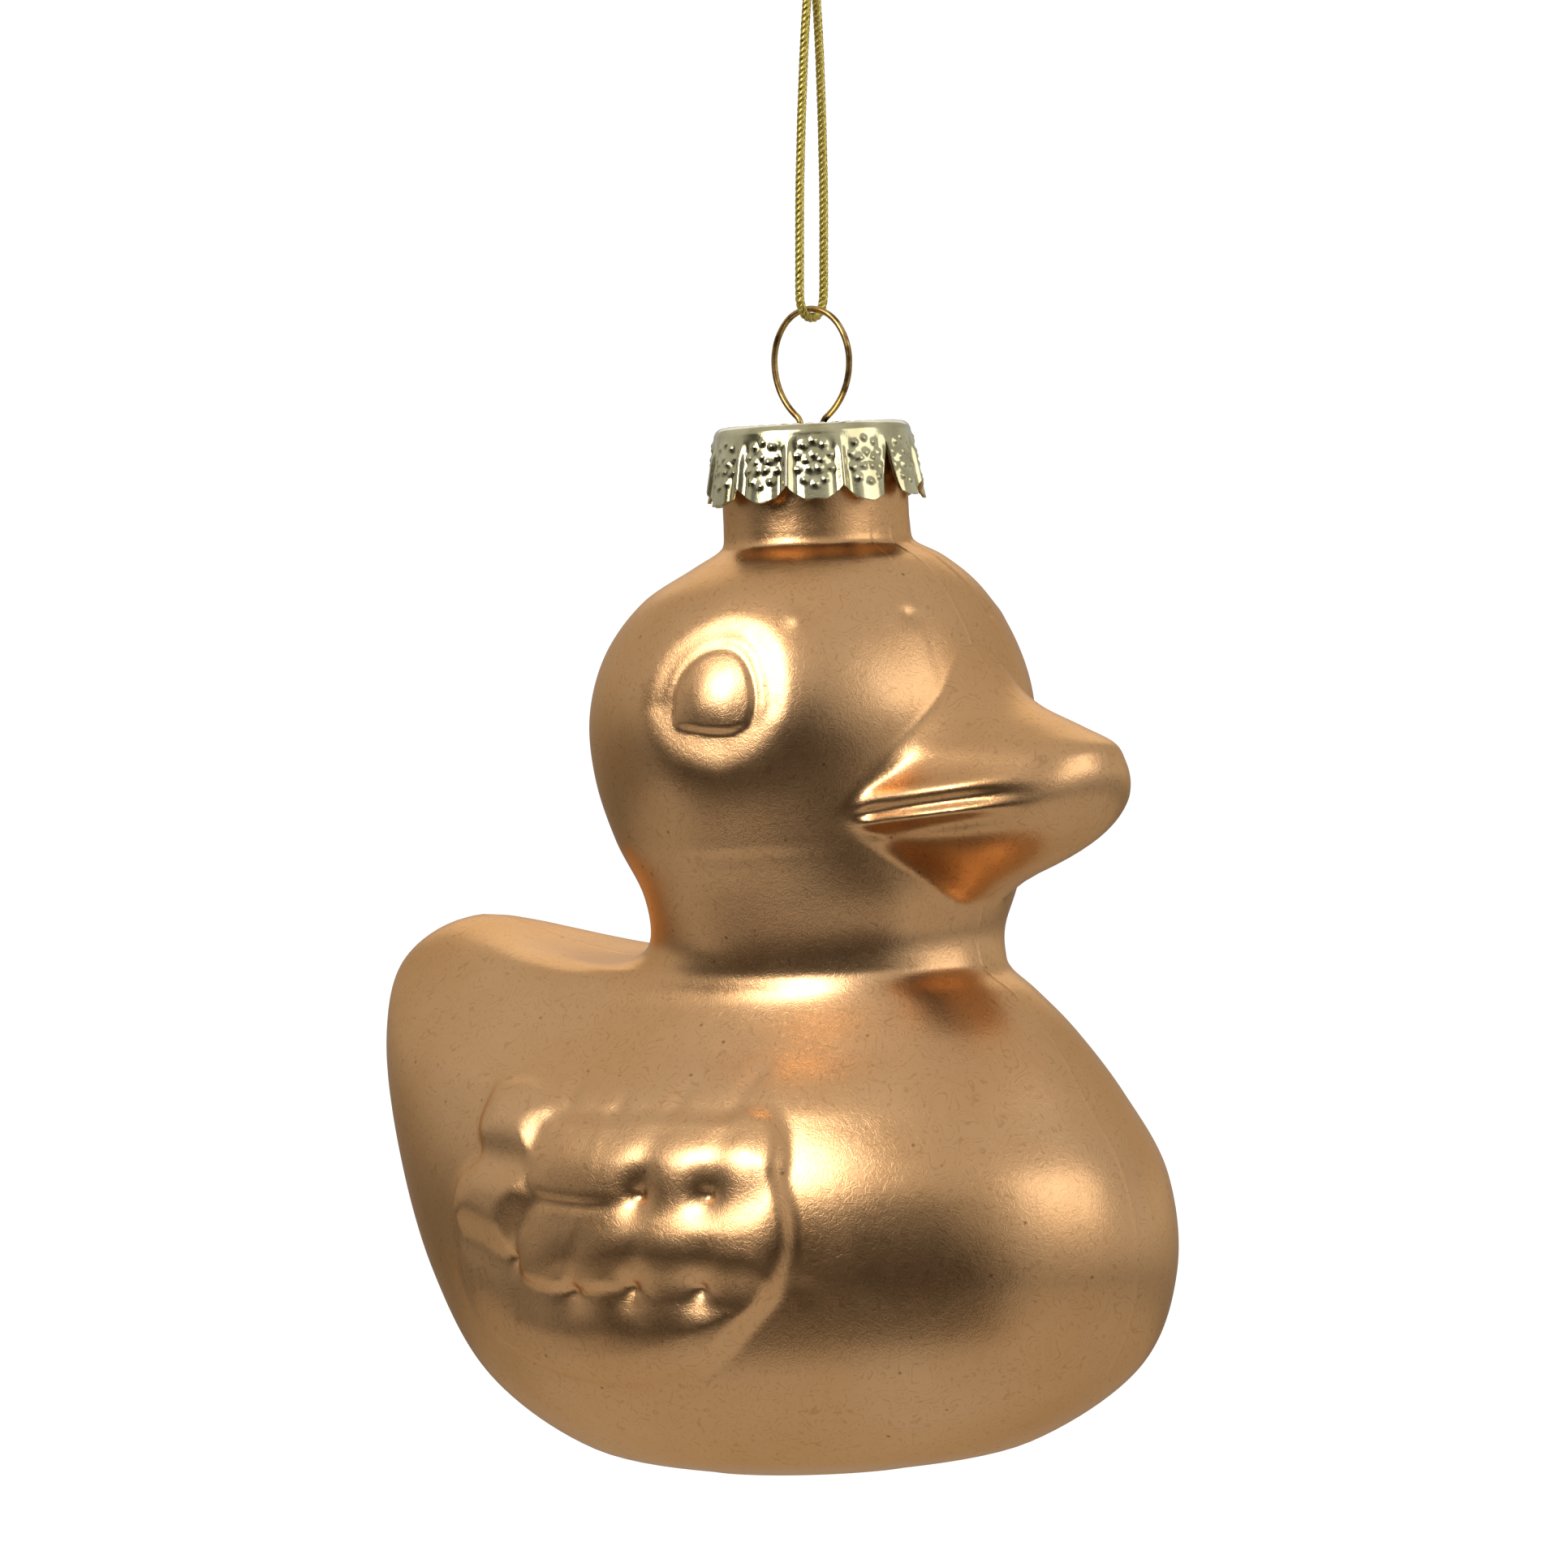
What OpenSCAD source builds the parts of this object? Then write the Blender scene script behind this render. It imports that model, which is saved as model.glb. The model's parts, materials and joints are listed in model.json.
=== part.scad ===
// A mould-blown glass duck that hangs from a cord loop.
// Lengths are in millimetres. +X points to the beak, +Y to the duck's left and +Z up.
// The origin is the hang point, under the knot of the cord loop.

/* [Glass duck] */
// Height of the body from the foot to the crease of the nape
body_h = 46; // [43:0.5:48]
// Reach of the tail behind the axis of the neck
tail_reach = 47.6; // [43:0.2:52]
// Reach of the breast in front of the axis of the neck
breast_reach = 30.2; // [27:0.2:33]
// Width of the body across the wings
body_w = 50.6; // [46:0.2:55]
// Height of the head from the nape to the foot of the neck pipe
head_h = 33.6; // [31:0.2:35]
// Reach of the back of the head behind the axis of the neck
head_back = 20.8; // [19:0.2:23]
// Reach of the forehead in front of the axis of the neck
head_front = 17.6; // [16:0.2:19]
// Width of the head
head_w = 37.6; // [34:0.2:41]
// Thickness of the blown wall
glass_wall = 1; // [0.8:0.05:1.3]
// Outer diameter of the neck pipe
neck_d = 16; // [15:0.1:17]
// Height of the neck pipe above the head
neck_h = 10.1; // [8:0.1:13]

/* [Beak] */
// Reach of the beak in front of the axis of the neck
beak_reach = 29.8; // [28:0.2:32]
// Width of the beak between the corners of the mouth
beak_w = 24; // [22:0.2:26]
// Height of the beak from the throat to the forehead
beak_h = 21; // [19:0.5:23]
// Height of the mouth above the nape
mouth_rise = 10.6; // [10:0.1:11.5]
// Depth of the line of the mouth
mouth_depth = 0.6; // [0.3:0.05:0.8]

/* [Eyes] */
// Width of one eye
eye_w = 7; // [6:0.1:8]
// Height of one eye
eye_h = 6; // [5:0.1:7]
// How far an eye stands out of its socket
eye_relief = 0.7; // [0.4:0.05:1]

/* [Wings] */
// Length of one wing
wing_l = 38; // [34:0.5:42]
// Height of one wing
wing_h = 25; // [22:0.5:27]
// How far a wing stands out of the body
wing_relief = 1.2; // [0.8:0.05:1.6]
// Depth of the creases between the rows of feathers
feather_depth = 0.6; // [0.3:0.05:0.8]

/* [Cap] */
// Thickness of the sheet metal of the cap
cap_sheet = 0.3; // [0.2:0.02:0.4]
// Height of the cap from the crown to the tips of its petals
cap_h = 6.6; // [6:0.1:7.6]
// Diameter of the round hole in the crown
cap_hole_d = 4; // [3.6:0.1:4.6]
// Number of petals round the skirt
petals = 12; // [10:1:16]
// How far the cap is turned on the neck, in degrees
cap_turn = 8; // [0:1:29]
// How far the tips of the petals flare out
petal_flare = 1.1; // [0.6:0.1:1.4]
// Gap between the skirt and the neck pipe
cap_gap = 0.2; // [0.1:0.02:0.3]

/* [Wire hanger] */
// Diameter of the spring wire
wire_d = 0.55; // [0.45:0.01:0.65]
// Height of the eye above the crown of the cap
eye_rise = 10.2; // [9:0.1:12]
// Height above the crown at which the eye is widest
eye_belly = 5.4; // [4.6:0.1:6]
// Width of the eye between the middles of the wire
ring_w = 8.1; // [7:0.1:9]
// Width of the waist in the hole of the cap, between the middles of the wire
waist_w = 2.4; // [2:0.1:2.8]
// Length of the legs below the crown of the cap
leg_drop = 14; // [12:0.5:16]
// Least gap between the foot of a leg and the bore of the neck
leg_gap = 0.2; // [0.15:0.05:0.5]

/* [Cord] */
// Diameter of the braided cord
cord_d = 0.8; // [0.7:0.05:0.9]
// Length of the two loose tails above the knot
tail_l = 6; // [4:0.5:9]

/* [Pose] */
// How far the nose of the hanging duck points up, in degrees
hang_tilt = 3.5; // [0:0.5:6]

/* [Hidden] */
$fn = 48;

// Route of the cord in the plane X = 0, as places [y, z] from the knot round the wire and back
cord_route = [
    [0.5, -1.2], [0.7, -3], [0.95, -5.5], [1.15, -8], [1.3, -10.5], [1.45, -13],
    [1.55, -15.5], [1.65, -18], [1.7, -20.5], [1.7, -23], [1.7, -25.5], [1.7, -27.5],
    [1.65, -28.5], [1.45, -29.1], [1, -29.7], [0.5, -29.93], [0, -30],
    [-0.5, -29.93], [-1, -29.7], [-1.45, -29.1], [-1.65, -28.5],
    [-1.7, -27.5], [-1.7, -25.5], [-1.7, -23], [-1.7, -20.5], [-1.65, -18], [-1.55, -15.5],
    [-1.45, -13], [-1.3, -10.5], [-1.15, -8], [-0.95, -5.5], [-0.7, -3], [-0.5, -1.2],
];
cord_sides = 8;
wire_sides = 8;
cord_low = min([for (p = cord_route) p[1]]);
knot_foot = cord_route[0][1];

// The wire rests on the cord, and the crown of the cap hangs below it
wire_rest_gap = 0.1;
eye_top = cord_low + cord_d / 2 + wire_rest_gap + wire_d;
crown_z = eye_top - eye_rise;

neck_r = neck_d / 2;
bore_r = neck_r - glass_wall;
neck_foot = body_h + head_h;
glass_h = neck_foot + neck_h;
neck_embed = 0.2;
rim_bevel = glass_wall * 0.45;
overrun = 1;

// Sections of the body from the foot up to the nape. Each row holds shares:
// back reach, back height, front reach, front height, half width, place of the widest point
body_shares = [
    [0.315, 0, 0.13, 0, 0.3, 0.105],
    [0.546, 0.052, 0.497, 0.043, 0.61, 0.116],
    [0.744, 0.196, 0.848, 0.174, 0.877, 0.126],
    [0.866, 0.402, 1, 0.348, 0.988, 0.137],
    [0.945, 0.641, 0.98, 0.533, 1, 0.137],
    [1, 0.848, 0.841, 0.685, 0.925, 0.126],
    [0.975, 0.983, 0.702, 0.804, 0.806, 0.105],
    [0.819, 1.052, 0.583, 0.883, 0.704, 0.084],
    [0.62, 1.026, 0.51, 0.93, 0.648, 0.063],
    [0.452, 0.97, 0.477, 0.97, 0.613, 0.053],
];
// Sections of the head from the nape up to the neck pipe, in shares of the head's sizes
head_shares = [
    [0.8, -0.012, 0.8, 0.018, 0.8, 0.09],
    [0.803, 0.119, 0.909, 0.125, 0.83, 0.087],
    [0.904, 0.268, 0.932, 0.262, 0.91, 0.082],
    [0.986, 0.432, 0.989, 0.417, 0.995, 0.082],
    [1, 0.595, 1, 0.583, 1, 0.077],
    [0.918, 0.75, 0.909, 0.738, 0.926, 0.062],
    [0.75, 0.875, 0.773, 0.869, 0.766, 0.034],
];
// Sections of the shoulder of the neck pipe: radius and height, in shares of its radius
shoulder_shares = [[1.36, -0.2], [1.03, 0], [0.975, 0.2]];
// Rows of facets between one section and the next
span_rows = [2, 3, 5, 6, 6, 5, 4, 4, 4, 3, 4, 4, 6, 7, 5, 3, 2, 2, 1];
inner_span_rows = [1, 1, 2, 2, 2, 2, 2, 2, 2, 2, 1, 2, 2, 2, 2, 2, 2, 2, 1];
// Angles of the columns on one side, from the beak round to the tail
side_angles = concat(
    [for (i = [0:8]) i * 5.25],
    [for (i = [1:3]) 42 + i * 6],
    [for (i = [1:16]) 60 + i * 4],
    [for (i = [1:7]) 124 + i * 8]
);
column_angles = concat(side_angles, [for (i = [len(side_angles) - 2:-1:1]) 360 - side_angles[i]]);
// How steeply a section climbs into the tail
tail_curve = 2.2;

sections = concat(
    [for (s = body_shares) [
        -s[0] * tail_reach, s[1] * body_h, s[2] * breast_reach, s[3] * body_h,
        s[4] * body_w / 2, -s[5] * tail_reach
    ]],
    [for (s = head_shares) [
        -s[0] * head_back, body_h + s[1] * head_h, s[2] * head_front, body_h + s[3] * head_h,
        s[4] * head_w / 2, -s[5] * head_back
    ]],
    [for (s = shoulder_shares) [
        -s[0] * neck_r, neck_foot + s[1] * neck_r, s[0] * neck_r, neck_foot + s[1] * neck_r,
        s[0] * neck_r, 0
    ]]
);
last_section = len(sections) - 1;

// Beak: height above or below the mouth in shares of its height, then reach and half width shares
beak_shares = [
    [-0.4, 0.4, 0.1], [-0.32, 0.6, 0.36], [-0.24, 0.76, 0.58], [-0.16, 0.87, 0.78],
    [-0.08, 0.94, 0.92], [0, 0.98, 1], [0.08, 1, 0.97], [0.16, 1, 0.88], [0.24, 0.97, 0.77],
    [0.31, 0.89, 0.65], [0.39, 0.77, 0.52], [0.47, 0.66, 0.38], [0.56, 0.56, 0.25], [0.65, 0.45, 0.1],
];
beak_root = beak_reach / 2;
beak_blend = beak_w / 20;
beak_wall = glass_wall * 1.3;
mouth_z = body_h + mouth_rise;

// Places on the side of the duck, as [x, z]
eye_place = [0.11 * head_w / 2, body_h + 0.63 * head_h];
wing_place = [-0.155 * tail_reach, 0.465 * body_h];

function pick(table, i) = table[max(0, min(len(table) - 1, i))];
// Smooth curve through the rows of a table, at the place v
function along(table, v) =
    let (i = min(floor(v), len(table) - 2), f = v - i)
    let (a = pick(table, i - 1), b = pick(table, i), c = pick(table, i + 1), d = pick(table, i + 2))
    0.5 * (2 * b + (c - a) * f + (2 * a - 5 * b + 4 * c - d) * f * f
        + (3 * b - a - 3 * c + d) * f * f * f);
function bell(t) = exp(-t * t);
function soft_step(t) = let (c = max(0, min(1, t))) c * c * (3 - 2 * c);
function soft_max(a, b, k) =
    let (h = max(0, min(1, 0.5 + 0.5 * (a - b) / k))) b * (1 - h) + a * h + k * h * (1 - h);

// Point of the plain body at section place v and column angle a
function plain_point(v, a) =
    let (s = along(sections, v))
    let (reach = cos(a) > 0 ? s[2] - s[5] : s[5] - s[0])
    let (x = s[5] + reach * cos(a), climb = max(0, (s[2] - x) / (s[2] - s[0])))
    [x, s[4] * sin(a), s[3] + (s[1] - s[3]) * pow(climb, tail_curve)];

// Distance from the middle of a section to the outline of the beak, in the direction a.
// The outline is half an ellipse in front of the root, and runs straight back from there
function beak_radius(z, a, middle) =
    let (share = (z - mouth_z) / beak_h)
    share < beak_shares[0][0] || share > beak_shares[len(beak_shares) - 1][0] || cos(a) <= 0 ? 0 :
    let (reach = lookup(share, [for (b = beak_shares) [b[0], b[1]]]) * beak_reach)
    let (half = lookup(share, [for (b = beak_shares) [b[0], b[2]]]) * beak_w / 2)
    let (root = min(beak_root, reach - beak_blend / 4), depth = reach - root, ahead = root - middle)
    half * cos(a) <= ahead * abs(sin(a)) ? half / abs(sin(a)) :
    let (p = pow(cos(a) / depth, 2) + pow(sin(a) / half, 2))
    let (q = cos(a) * ahead / pow(depth, 2), r = pow(ahead / depth, 2) - 1)
    (q + sqrt(max(0, q * q - p * r))) / p;

// Crease of the mouth, deepest at its corners and gone at the tip of the beak
function mouth_line(x, z) =
    -mouth_depth * bell((z - mouth_z) / mouth_depth) * soft_step((beak_reach - x) / beak_root);

// Domed eye in a ring-shaped socket, at the side place [x, z]
function eye_form(x, z) =
    let (u = (x - eye_place[0]) / eye_w * 2, w = (z - eye_place[1]) / eye_h * 2)
    let (q = norm([u, w]))
    eye_relief * (max(0, 1 - q * q) - 0.45 * bell((q - 1.05) / 0.2) + 0.6 * bell((q - 1.9) / 0.45));

// Padded wing with three rows of feathers, at the side place [x, z]
function wing_form(x, z) =
    let (u = (x - wing_place[0]) / wing_l * 2, w = (z - wing_place[1]) / wing_h * 2)
    let (q = pow(pow(abs(u), 2.6) + pow(abs(w), 2.6), 1 / 2.6))
    let (scallop = 0.08 * abs(sin(u * 480)), row = feather_depth * soft_step((1 - q) * 4))
    wing_relief * soft_step((1.08 - q) * 4)
    - row * (bell((w - 0.32 + scallop) / 0.12) + bell((w + 0.34 + scallop) / 0.12))
    - row * bell((u + 0.5 - 0.2 * w * w) / 0.08) * soft_step((w + 0.4) * 4);

// Point of the moulded glass: the plain body with beak, mouth, eyes and wings
function glass_point(v, a) =
    let (p = plain_point(v, a), middle = along(sections, v)[5])
    let (flat = [p[0] - middle, p[1]], far = norm(flat), way = atan2(p[1], flat[0]))
    let (beak = beak_radius(p[2], way, middle))
    let (r = beak > 0 ? soft_max(far, beak, beak_blend) : far)
    let (x = middle + r * cos(way), y = r * sin(way))
    let (lip = beak > far ? mouth_line(x, p[2]) : 0)
    let (out = p[2] > body_h ? eye_form(x, p[2]) : wing_form(x, p[2]))
    let (side = abs(sin(a)) > 0.3 && v < last_section - 3 ? sign(y) * out : 0)
    [x + lip * cos(way), y + lip * sin(way) + side, p[2]];

// Point of the inner skin: the plain body moved inwards by the wall, and hollow in the beak
function inner_point(v, a) =
    let (e = 0.02, b = min(v + e, last_section), c = max(v - e, 0))
    let (n = cross(plain_point(v, a + 1) - plain_point(v, a - 1), plain_point(b, a) - plain_point(c, a)))
    let (p = plain_point(v, a) - glass_wall * n / norm(n), middle = along(sections, v)[5])
    let (flat = [p[0] - middle, p[1]], far = norm(flat), way = atan2(p[1], flat[0]))
    let (beak = min([for (up = [-beak_wall, 0, beak_wall]) beak_radius(p[2] + up, way, middle)]))
    let (r = beak > 0 ? soft_max(far, beak - beak_wall, beak_blend) : far)
    [middle + r * cos(way), r * sin(way), p[2]];

function places(counts) =
    concat([for (s = [0:len(counts) - 1], k = [0:counts[s] - 1]) s + k / counts[s]], [len(counts)]);

// Hollow duck: an outer skin and an inner one with half as many columns, joined in a ring
module blown_shell() {
    outer = [for (v = places(span_rows), a = column_angles) glass_point(v, a)];
    outer_n = len(column_angles);
    outer_rows = len(places(span_rows));
    inner_n = outer_n / 2;
    inner_rows = len(places(inner_span_rows));
    inner = [for (v = places(inner_span_rows), j = [0:inner_n - 1]) inner_point(v, column_angles[2 * j])];
    base = len(outer);
    top = base - outer_n;
    rim = base + (inner_rows - 1) * inner_n;
    middle = base + len(inner);
    low = min([for (j = [0:inner_n - 1]) inner[j][2]]);
    faces = concat(
        [[for (j = [0:outer_n - 1]) j]],
        [for (i = [0:outer_rows - 2], j = [0:outer_n - 1], t = [0, 1])
            let (k = (j + 1) % outer_n, a = i * outer_n, b = a + outer_n)
            t == 0 ? [a + j, b + j, b + k] : [a + j, b + k, a + k]],
        [for (i = [0:inner_rows - 2], j = [0:inner_n - 1], t = [0, 1])
            let (k = (j + 1) % inner_n, a = base + i * inner_n, b = a + inner_n)
            t == 0 ? [a + j, b + k, b + j] : [a + j, a + k, b + k]],
        [for (j = [0:inner_n - 1]) [middle, base + (j + 1) % inner_n, base + j]],
        [for (j = [0:inner_n - 1], t = [0:2])
            let (k = (j + 1) % inner_n, o = top + 2 * j, p = top + (2 * j + 2) % outer_n)
            t == 0 ? [o, rim + j, o + 1] : t == 1 ? [o + 1, rim + j, rim + k] : [o + 1, rim + k, p]]
    );
    polyhedron(concat(outer, inner, [[sections[0][5], 0, low]]), faces);
}

// Pipe on top of the head, with a fire-polished rim
module neck_pipe() {
    rotate_extrude()
        polygon([
            [bore_r, neck_foot - neck_embed],
            [neck_r, neck_foot - neck_embed],
            [neck_r, glass_h - rim_bevel],
            [neck_r - rim_bevel, glass_h],
            [bore_r + rim_bevel / 2, glass_h],
            [bore_r, glass_h - rim_bevel / 2],
        ]);
}

// Places a piece that is drawn with the foot of the glass at zero, as it hangs
module hung() {
    translate([0, 0, crown_z])
        rotate([0, -hang_tilt, 0])
            translate([0, 0, -glass_h - cap_sheet])
                children();
}

module glass_body() {
    color("peru")
        hung() {
            blown_shell();
            neck_pipe();
        }
}

// Sizes of the cap: the skirt slips over the neck pipe
skirt_r = neck_r + cap_gap;
crown_round = cap_sheet * 3;
notch_h = cap_h * 0.45;
notch_w = 2 * (skirt_r + petal_flare) * sin(180 / petals) * 0.45;

// Half section of the cap, with its crown at the height zero
module cap_section() {
    corner = skirt_r + cap_sheet - crown_round;
    turns = [for (a = [90:-15:0]) a];
    polygon(concat(
        [[cap_hole_d / 2, -cap_sheet], [cap_hole_d / 2, 0]],
        [for (a = turns) [corner + crown_round * cos(a), crown_round * (sin(a) - 1)]],
        [
            [skirt_r + cap_sheet + petal_flare, -cap_h],
            [skirt_r + petal_flare, -cap_h],
        ],
        [for (i = [len(turns) - 1:-1:0])
            [corner + (crown_round - cap_sheet) * cos(turns[i]),
                (crown_round - cap_sheet) * sin(turns[i]) - crown_round]]
    ));
}

module petal_notch() {
    rotate([90, 0, 90])
        linear_extrude(skirt_r + petal_flare + overrun)
            polygon([
                [-notch_w * 0.7, -cap_h - overrun],
                [notch_w * 0.7, -cap_h - overrun],
                [notch_w / 6, -cap_h + notch_h * 0.7],
                [0, -cap_h + notch_h],
                [-notch_w / 6, -cap_h + notch_h * 0.7],
            ]);
}

module cap() {
    color("khaki")
        hung()
            translate([0, 0, glass_h + cap_sheet])
                rotate([0, 0, cap_turn])
                    difference() {
                        rotate_extrude($fn = 96)
                            cap_section();
                        for (i = [0:petals - 1])
                            rotate([0, 0, (2 * i + 1) * 180 / petals])
                                petal_notch();
                    }
}

// Arcs of the wire. The eye is a small arc at the top and larger ones at the sides
top_turn = 50;
belly_rise = eye_rise - wire_d / 2 - eye_belly;
arc_step = (belly_rise - ring_w / 2) / (1 - cos(top_turn) - sin(top_turn));
top_r = belly_rise + arc_step * cos(top_turn);
side_r = ring_w / 2 - arc_step * sin(top_turn);
waist_r = wire_d * 1.8;
low_h = eye_belly + cap_sheet / 2;
low_turn = 2 * atan2((ring_w - waist_w) / 2, low_h);
low_r = low_h / sin(low_turn) - waist_r;
// The legs spread until their feet nearly touch the bore of the leaning neck
leg_reach = bore_r - wire_d / 2 - leg_gap - leg_drop * sin(hang_tilt);
leg_turn = atan2(leg_reach - waist_w / 2, leg_drop);
waist_centre = [waist_w / 2 + waist_r, -cap_sheet / 2];
leg_start = arc_point(waist_centre, waist_r, 180 + leg_turn);
leg_l = (leg_drop + leg_start[1]) / cos(leg_turn);

function arc_point(centre, r, a) = centre + r * [cos(a), sin(a)];
function arc(centre, r, from, to, steps) =
    [for (i = [1:steps]) arc_point(centre, r, from + (to - from) * i / steps)];

// Middle of the wire on the beak's side, from the top of the eye to the foot of the leg
wire_half = concat(
    arc([0, eye_rise - wire_d / 2 - top_r], top_r, 90, 90 - top_turn, 6),
    arc([ring_w / 2 - side_r, eye_belly], side_r, 90 - top_turn, 0, 5),
    arc([ring_w / 2 - low_r, eye_belly], low_r, 0, -low_turn, 6),
    arc(waist_centre, waist_r, 180 - low_turn, 180 + leg_turn, 6),
    [leg_start + leg_l * [sin(leg_turn), -cos(leg_turn)]]
);
wire_path = concat(
    [for (i = [len(wire_half) - 1:-1:0]) [-wire_half[i][0], wire_half[i][1]]],
    [[0, eye_rise - wire_d / 2]],
    wire_half
);

function unit(v) = v / norm(v);
// Tube of diameter d along a path of places [y, z], with the given way across each end
module tube(path, d, sides, first_across, last_across) {
    n = len(path);
    points = [for (i = [0:n - 1], k = [0:sides - 1])
        let (way = unit(unit(path[min(i + 1, n - 1)] - path[i == n - 1 ? i - 1 : i])
            + unit(path[i == 0 ? 1 : i] - path[max(i - 1, 0)])))
        let (across = i == 0 ? first_across : i == n - 1 ? last_across : [-way[1], way[0]])
        let (out = d / 2 * cos(k * 360 / sides))
        [d / 2 * sin(k * 360 / sides), path[i][0] + out * across[0], path[i][1] + out * across[1]]];
    faces = concat(
        [[for (k = [sides - 1:-1:0]) k]],
        [for (i = [0:n - 2], k = [0:sides - 1], t = [0, 1])
            let (m = (k + 1) % sides, a = i * sides, b = a + sides)
            t == 0 ? [a + k, a + m, b + m] : [a + k, b + m, b + k]],
        [[for (k = [0:sides - 1]) (n - 1) * sides + k]]
    );
    polyhedron(points, faces);
}

module wire_hanger() {
    color("darkgoldenrod")
        translate([0, 0, crown_z])
            rotate([0, 0, -90])
                tube(wire_path, wire_d, wire_sides,
                    [-cos(leg_turn), sin(leg_turn)], [cos(leg_turn), sin(leg_turn)]);
}

module hanging_cord() {
    color("darkkhaki")
        tube(cord_route, cord_d, cord_sides, [1, 0], [-1, 0]);
}

// Knot: a core round both strands, two tight turns on it and two loose tails
core_r = cord_route[0][0] + cord_d / 2 + cord_d / 8;
turns_n = 2;
tail_splay = 14;
module cord_knot() {
    color("darkkhaki")
        translate([0, 0, knot_foot]) {
            cylinder(r = core_r, h = (turns_n + 1) * cord_d);
            for (i = [0:turns_n - 1])
                translate([0, 0, (i + 1) * cord_d])
                    rotate_extrude()
                        translate([core_r, 0])
                            circle(d = cord_d * 0.9);
            for (side = [-1, 1])
                translate([0, side * cord_d * 0.56, turns_n * cord_d])
                    rotate([-side * tail_splay, 0, 0])
                        cylinder(d = cord_d, h = tail_l);
        }
}

glass_body();
cap();
wire_hanger();
hanging_cord();
cord_knot();
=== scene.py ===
"""A mould-blown glass duck on a cord loop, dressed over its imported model.

Sizes in the classes are in millimetres, as the real thing is measured. Every mesh is
written in metres in the row frame: +X to the beak, +Y to the duck's left and +Z up, with
the origin at the hang point under the knot.
"""
from __future__ import annotations

import json
import logging
import math
from dataclasses import dataclass, field
from enum import Enum
from typing import Any, Callable, Iterable, Sequence

import bpy
import numpy as np
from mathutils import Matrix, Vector


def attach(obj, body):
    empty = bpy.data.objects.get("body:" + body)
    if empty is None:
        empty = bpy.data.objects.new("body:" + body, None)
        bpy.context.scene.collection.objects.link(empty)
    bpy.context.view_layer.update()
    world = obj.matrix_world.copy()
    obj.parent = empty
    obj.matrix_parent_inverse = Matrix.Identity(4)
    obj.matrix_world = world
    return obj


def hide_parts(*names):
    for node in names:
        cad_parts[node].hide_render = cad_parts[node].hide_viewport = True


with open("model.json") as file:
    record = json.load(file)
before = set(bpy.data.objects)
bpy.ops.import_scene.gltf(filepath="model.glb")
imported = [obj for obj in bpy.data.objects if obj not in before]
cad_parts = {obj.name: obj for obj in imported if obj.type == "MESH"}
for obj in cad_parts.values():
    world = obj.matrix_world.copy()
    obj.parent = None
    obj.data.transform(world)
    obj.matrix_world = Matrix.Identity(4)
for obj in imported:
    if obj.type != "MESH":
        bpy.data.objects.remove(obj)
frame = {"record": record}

Array = np.ndarray
Piece = bpy.types.Object
Tree = bpy.types.NodeTree
Socket = bpy.types.NodeSocket
Node = bpy.types.Node
Place = tuple[float, float]
MM = 0.001
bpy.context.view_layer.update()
log = logging.getLogger("glass_duck")
# Sizes that the glass, the cap and the wire share, in millimetres
NECK_R = 8.0
GLASS_WALL = 1.0
CAP_SHEET = 0.3


class Body(Enum):
    """The bodies that the pieces ride on."""

    CORD = "cord"
    HANGER = "hanger"
    CAP = "cap"
    GLASS = "glass"


def bell(t: Array) -> Array:
    """Bell curve: e to the power of minus t squared."""
    return np.exp(-t * t)


def smooth(t: Array) -> Array:
    """Soft step: 3t squared minus 2t cubed, with t held between 0 and 1."""
    c = np.clip(t, 0.0, 1.0)
    return c * c * (3.0 - 2.0 * c)


def unit(v: Array) -> Array:
    """Vectors scaled to a length of 1."""
    return v / np.linalg.norm(v, axis=-1, keepdims=True)


def turns(count: int) -> Array:
    """Even turns round a circle, in radians from 0."""
    return np.linspace(0, 2 * np.pi, count, endpoint=False)


def pillow(depth: Array, wide: float, sunk: float) -> Array:
    """Padded edge: a soft step, `wide` broad, with its share `sunk` below the outline."""
    return smooth(sunk + (1.0 - sunk) * depth / wide)


def soft_max(a: Array, b: Array, k: float) -> Array:
    """The larger of two values, with a rounded blend where they differ by less than k."""
    h = np.clip(0.5 + 0.5 * (a - b) / k, 0.0, 1.0)
    return b * (1.0 - h) + a * h + k * h * (1.0 - h)


def cubic(a: Array, b: Array, c: Array, d: Array, f: Array) -> Array:
    """Cubic from b to c, whose slope at each is half the step between its neighbours."""
    return 0.5 * (2 * b + (c - a) * f + (2 * a - 5 * b + 4 * c - d) * f ** 2
                  + (3 * b - a - 3 * c + d) * f ** 3)


def along(table: Array, place: Array) -> Array:
    """Smooth curve through the rows of a table.

    Args:
        table: One row of numbers for each whole place.
        place: Places along the table, from 0 to its last row.

    Returns:
        One row of numbers for each place.
    """
    rows = np.asarray(table, float)
    i = np.clip(np.floor(place).astype(int), 0, len(rows) - 2)
    near = (rows[np.clip(i + k, 0, len(rows) - 1)] for k in (-1, 0, 1, 2))
    return cubic(*near, (place - i)[..., None])


def loop_through(points: Sequence[Sequence[float]], per: int = 6) -> Array:
    """Closed smooth curve through points, with `per` steps between each two of them."""
    p = np.asarray(points, float)
    t = np.arange(len(p) * per) / per
    i = np.floor(t).astype(int)
    return cubic(*(p[(i + k) % len(p)] for k in (-1, 0, 1, 2)), (t % 1.0)[:, None])


def line_through(points: Sequence[Sequence[float]], per: int = 6) -> Array:
    """Open smooth curve through points, with `per` steps between each two of them."""
    p = np.asarray(points, float)
    return along(p, np.linspace(0, len(p) - 1, (len(p) - 1) * per + 1))


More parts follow.
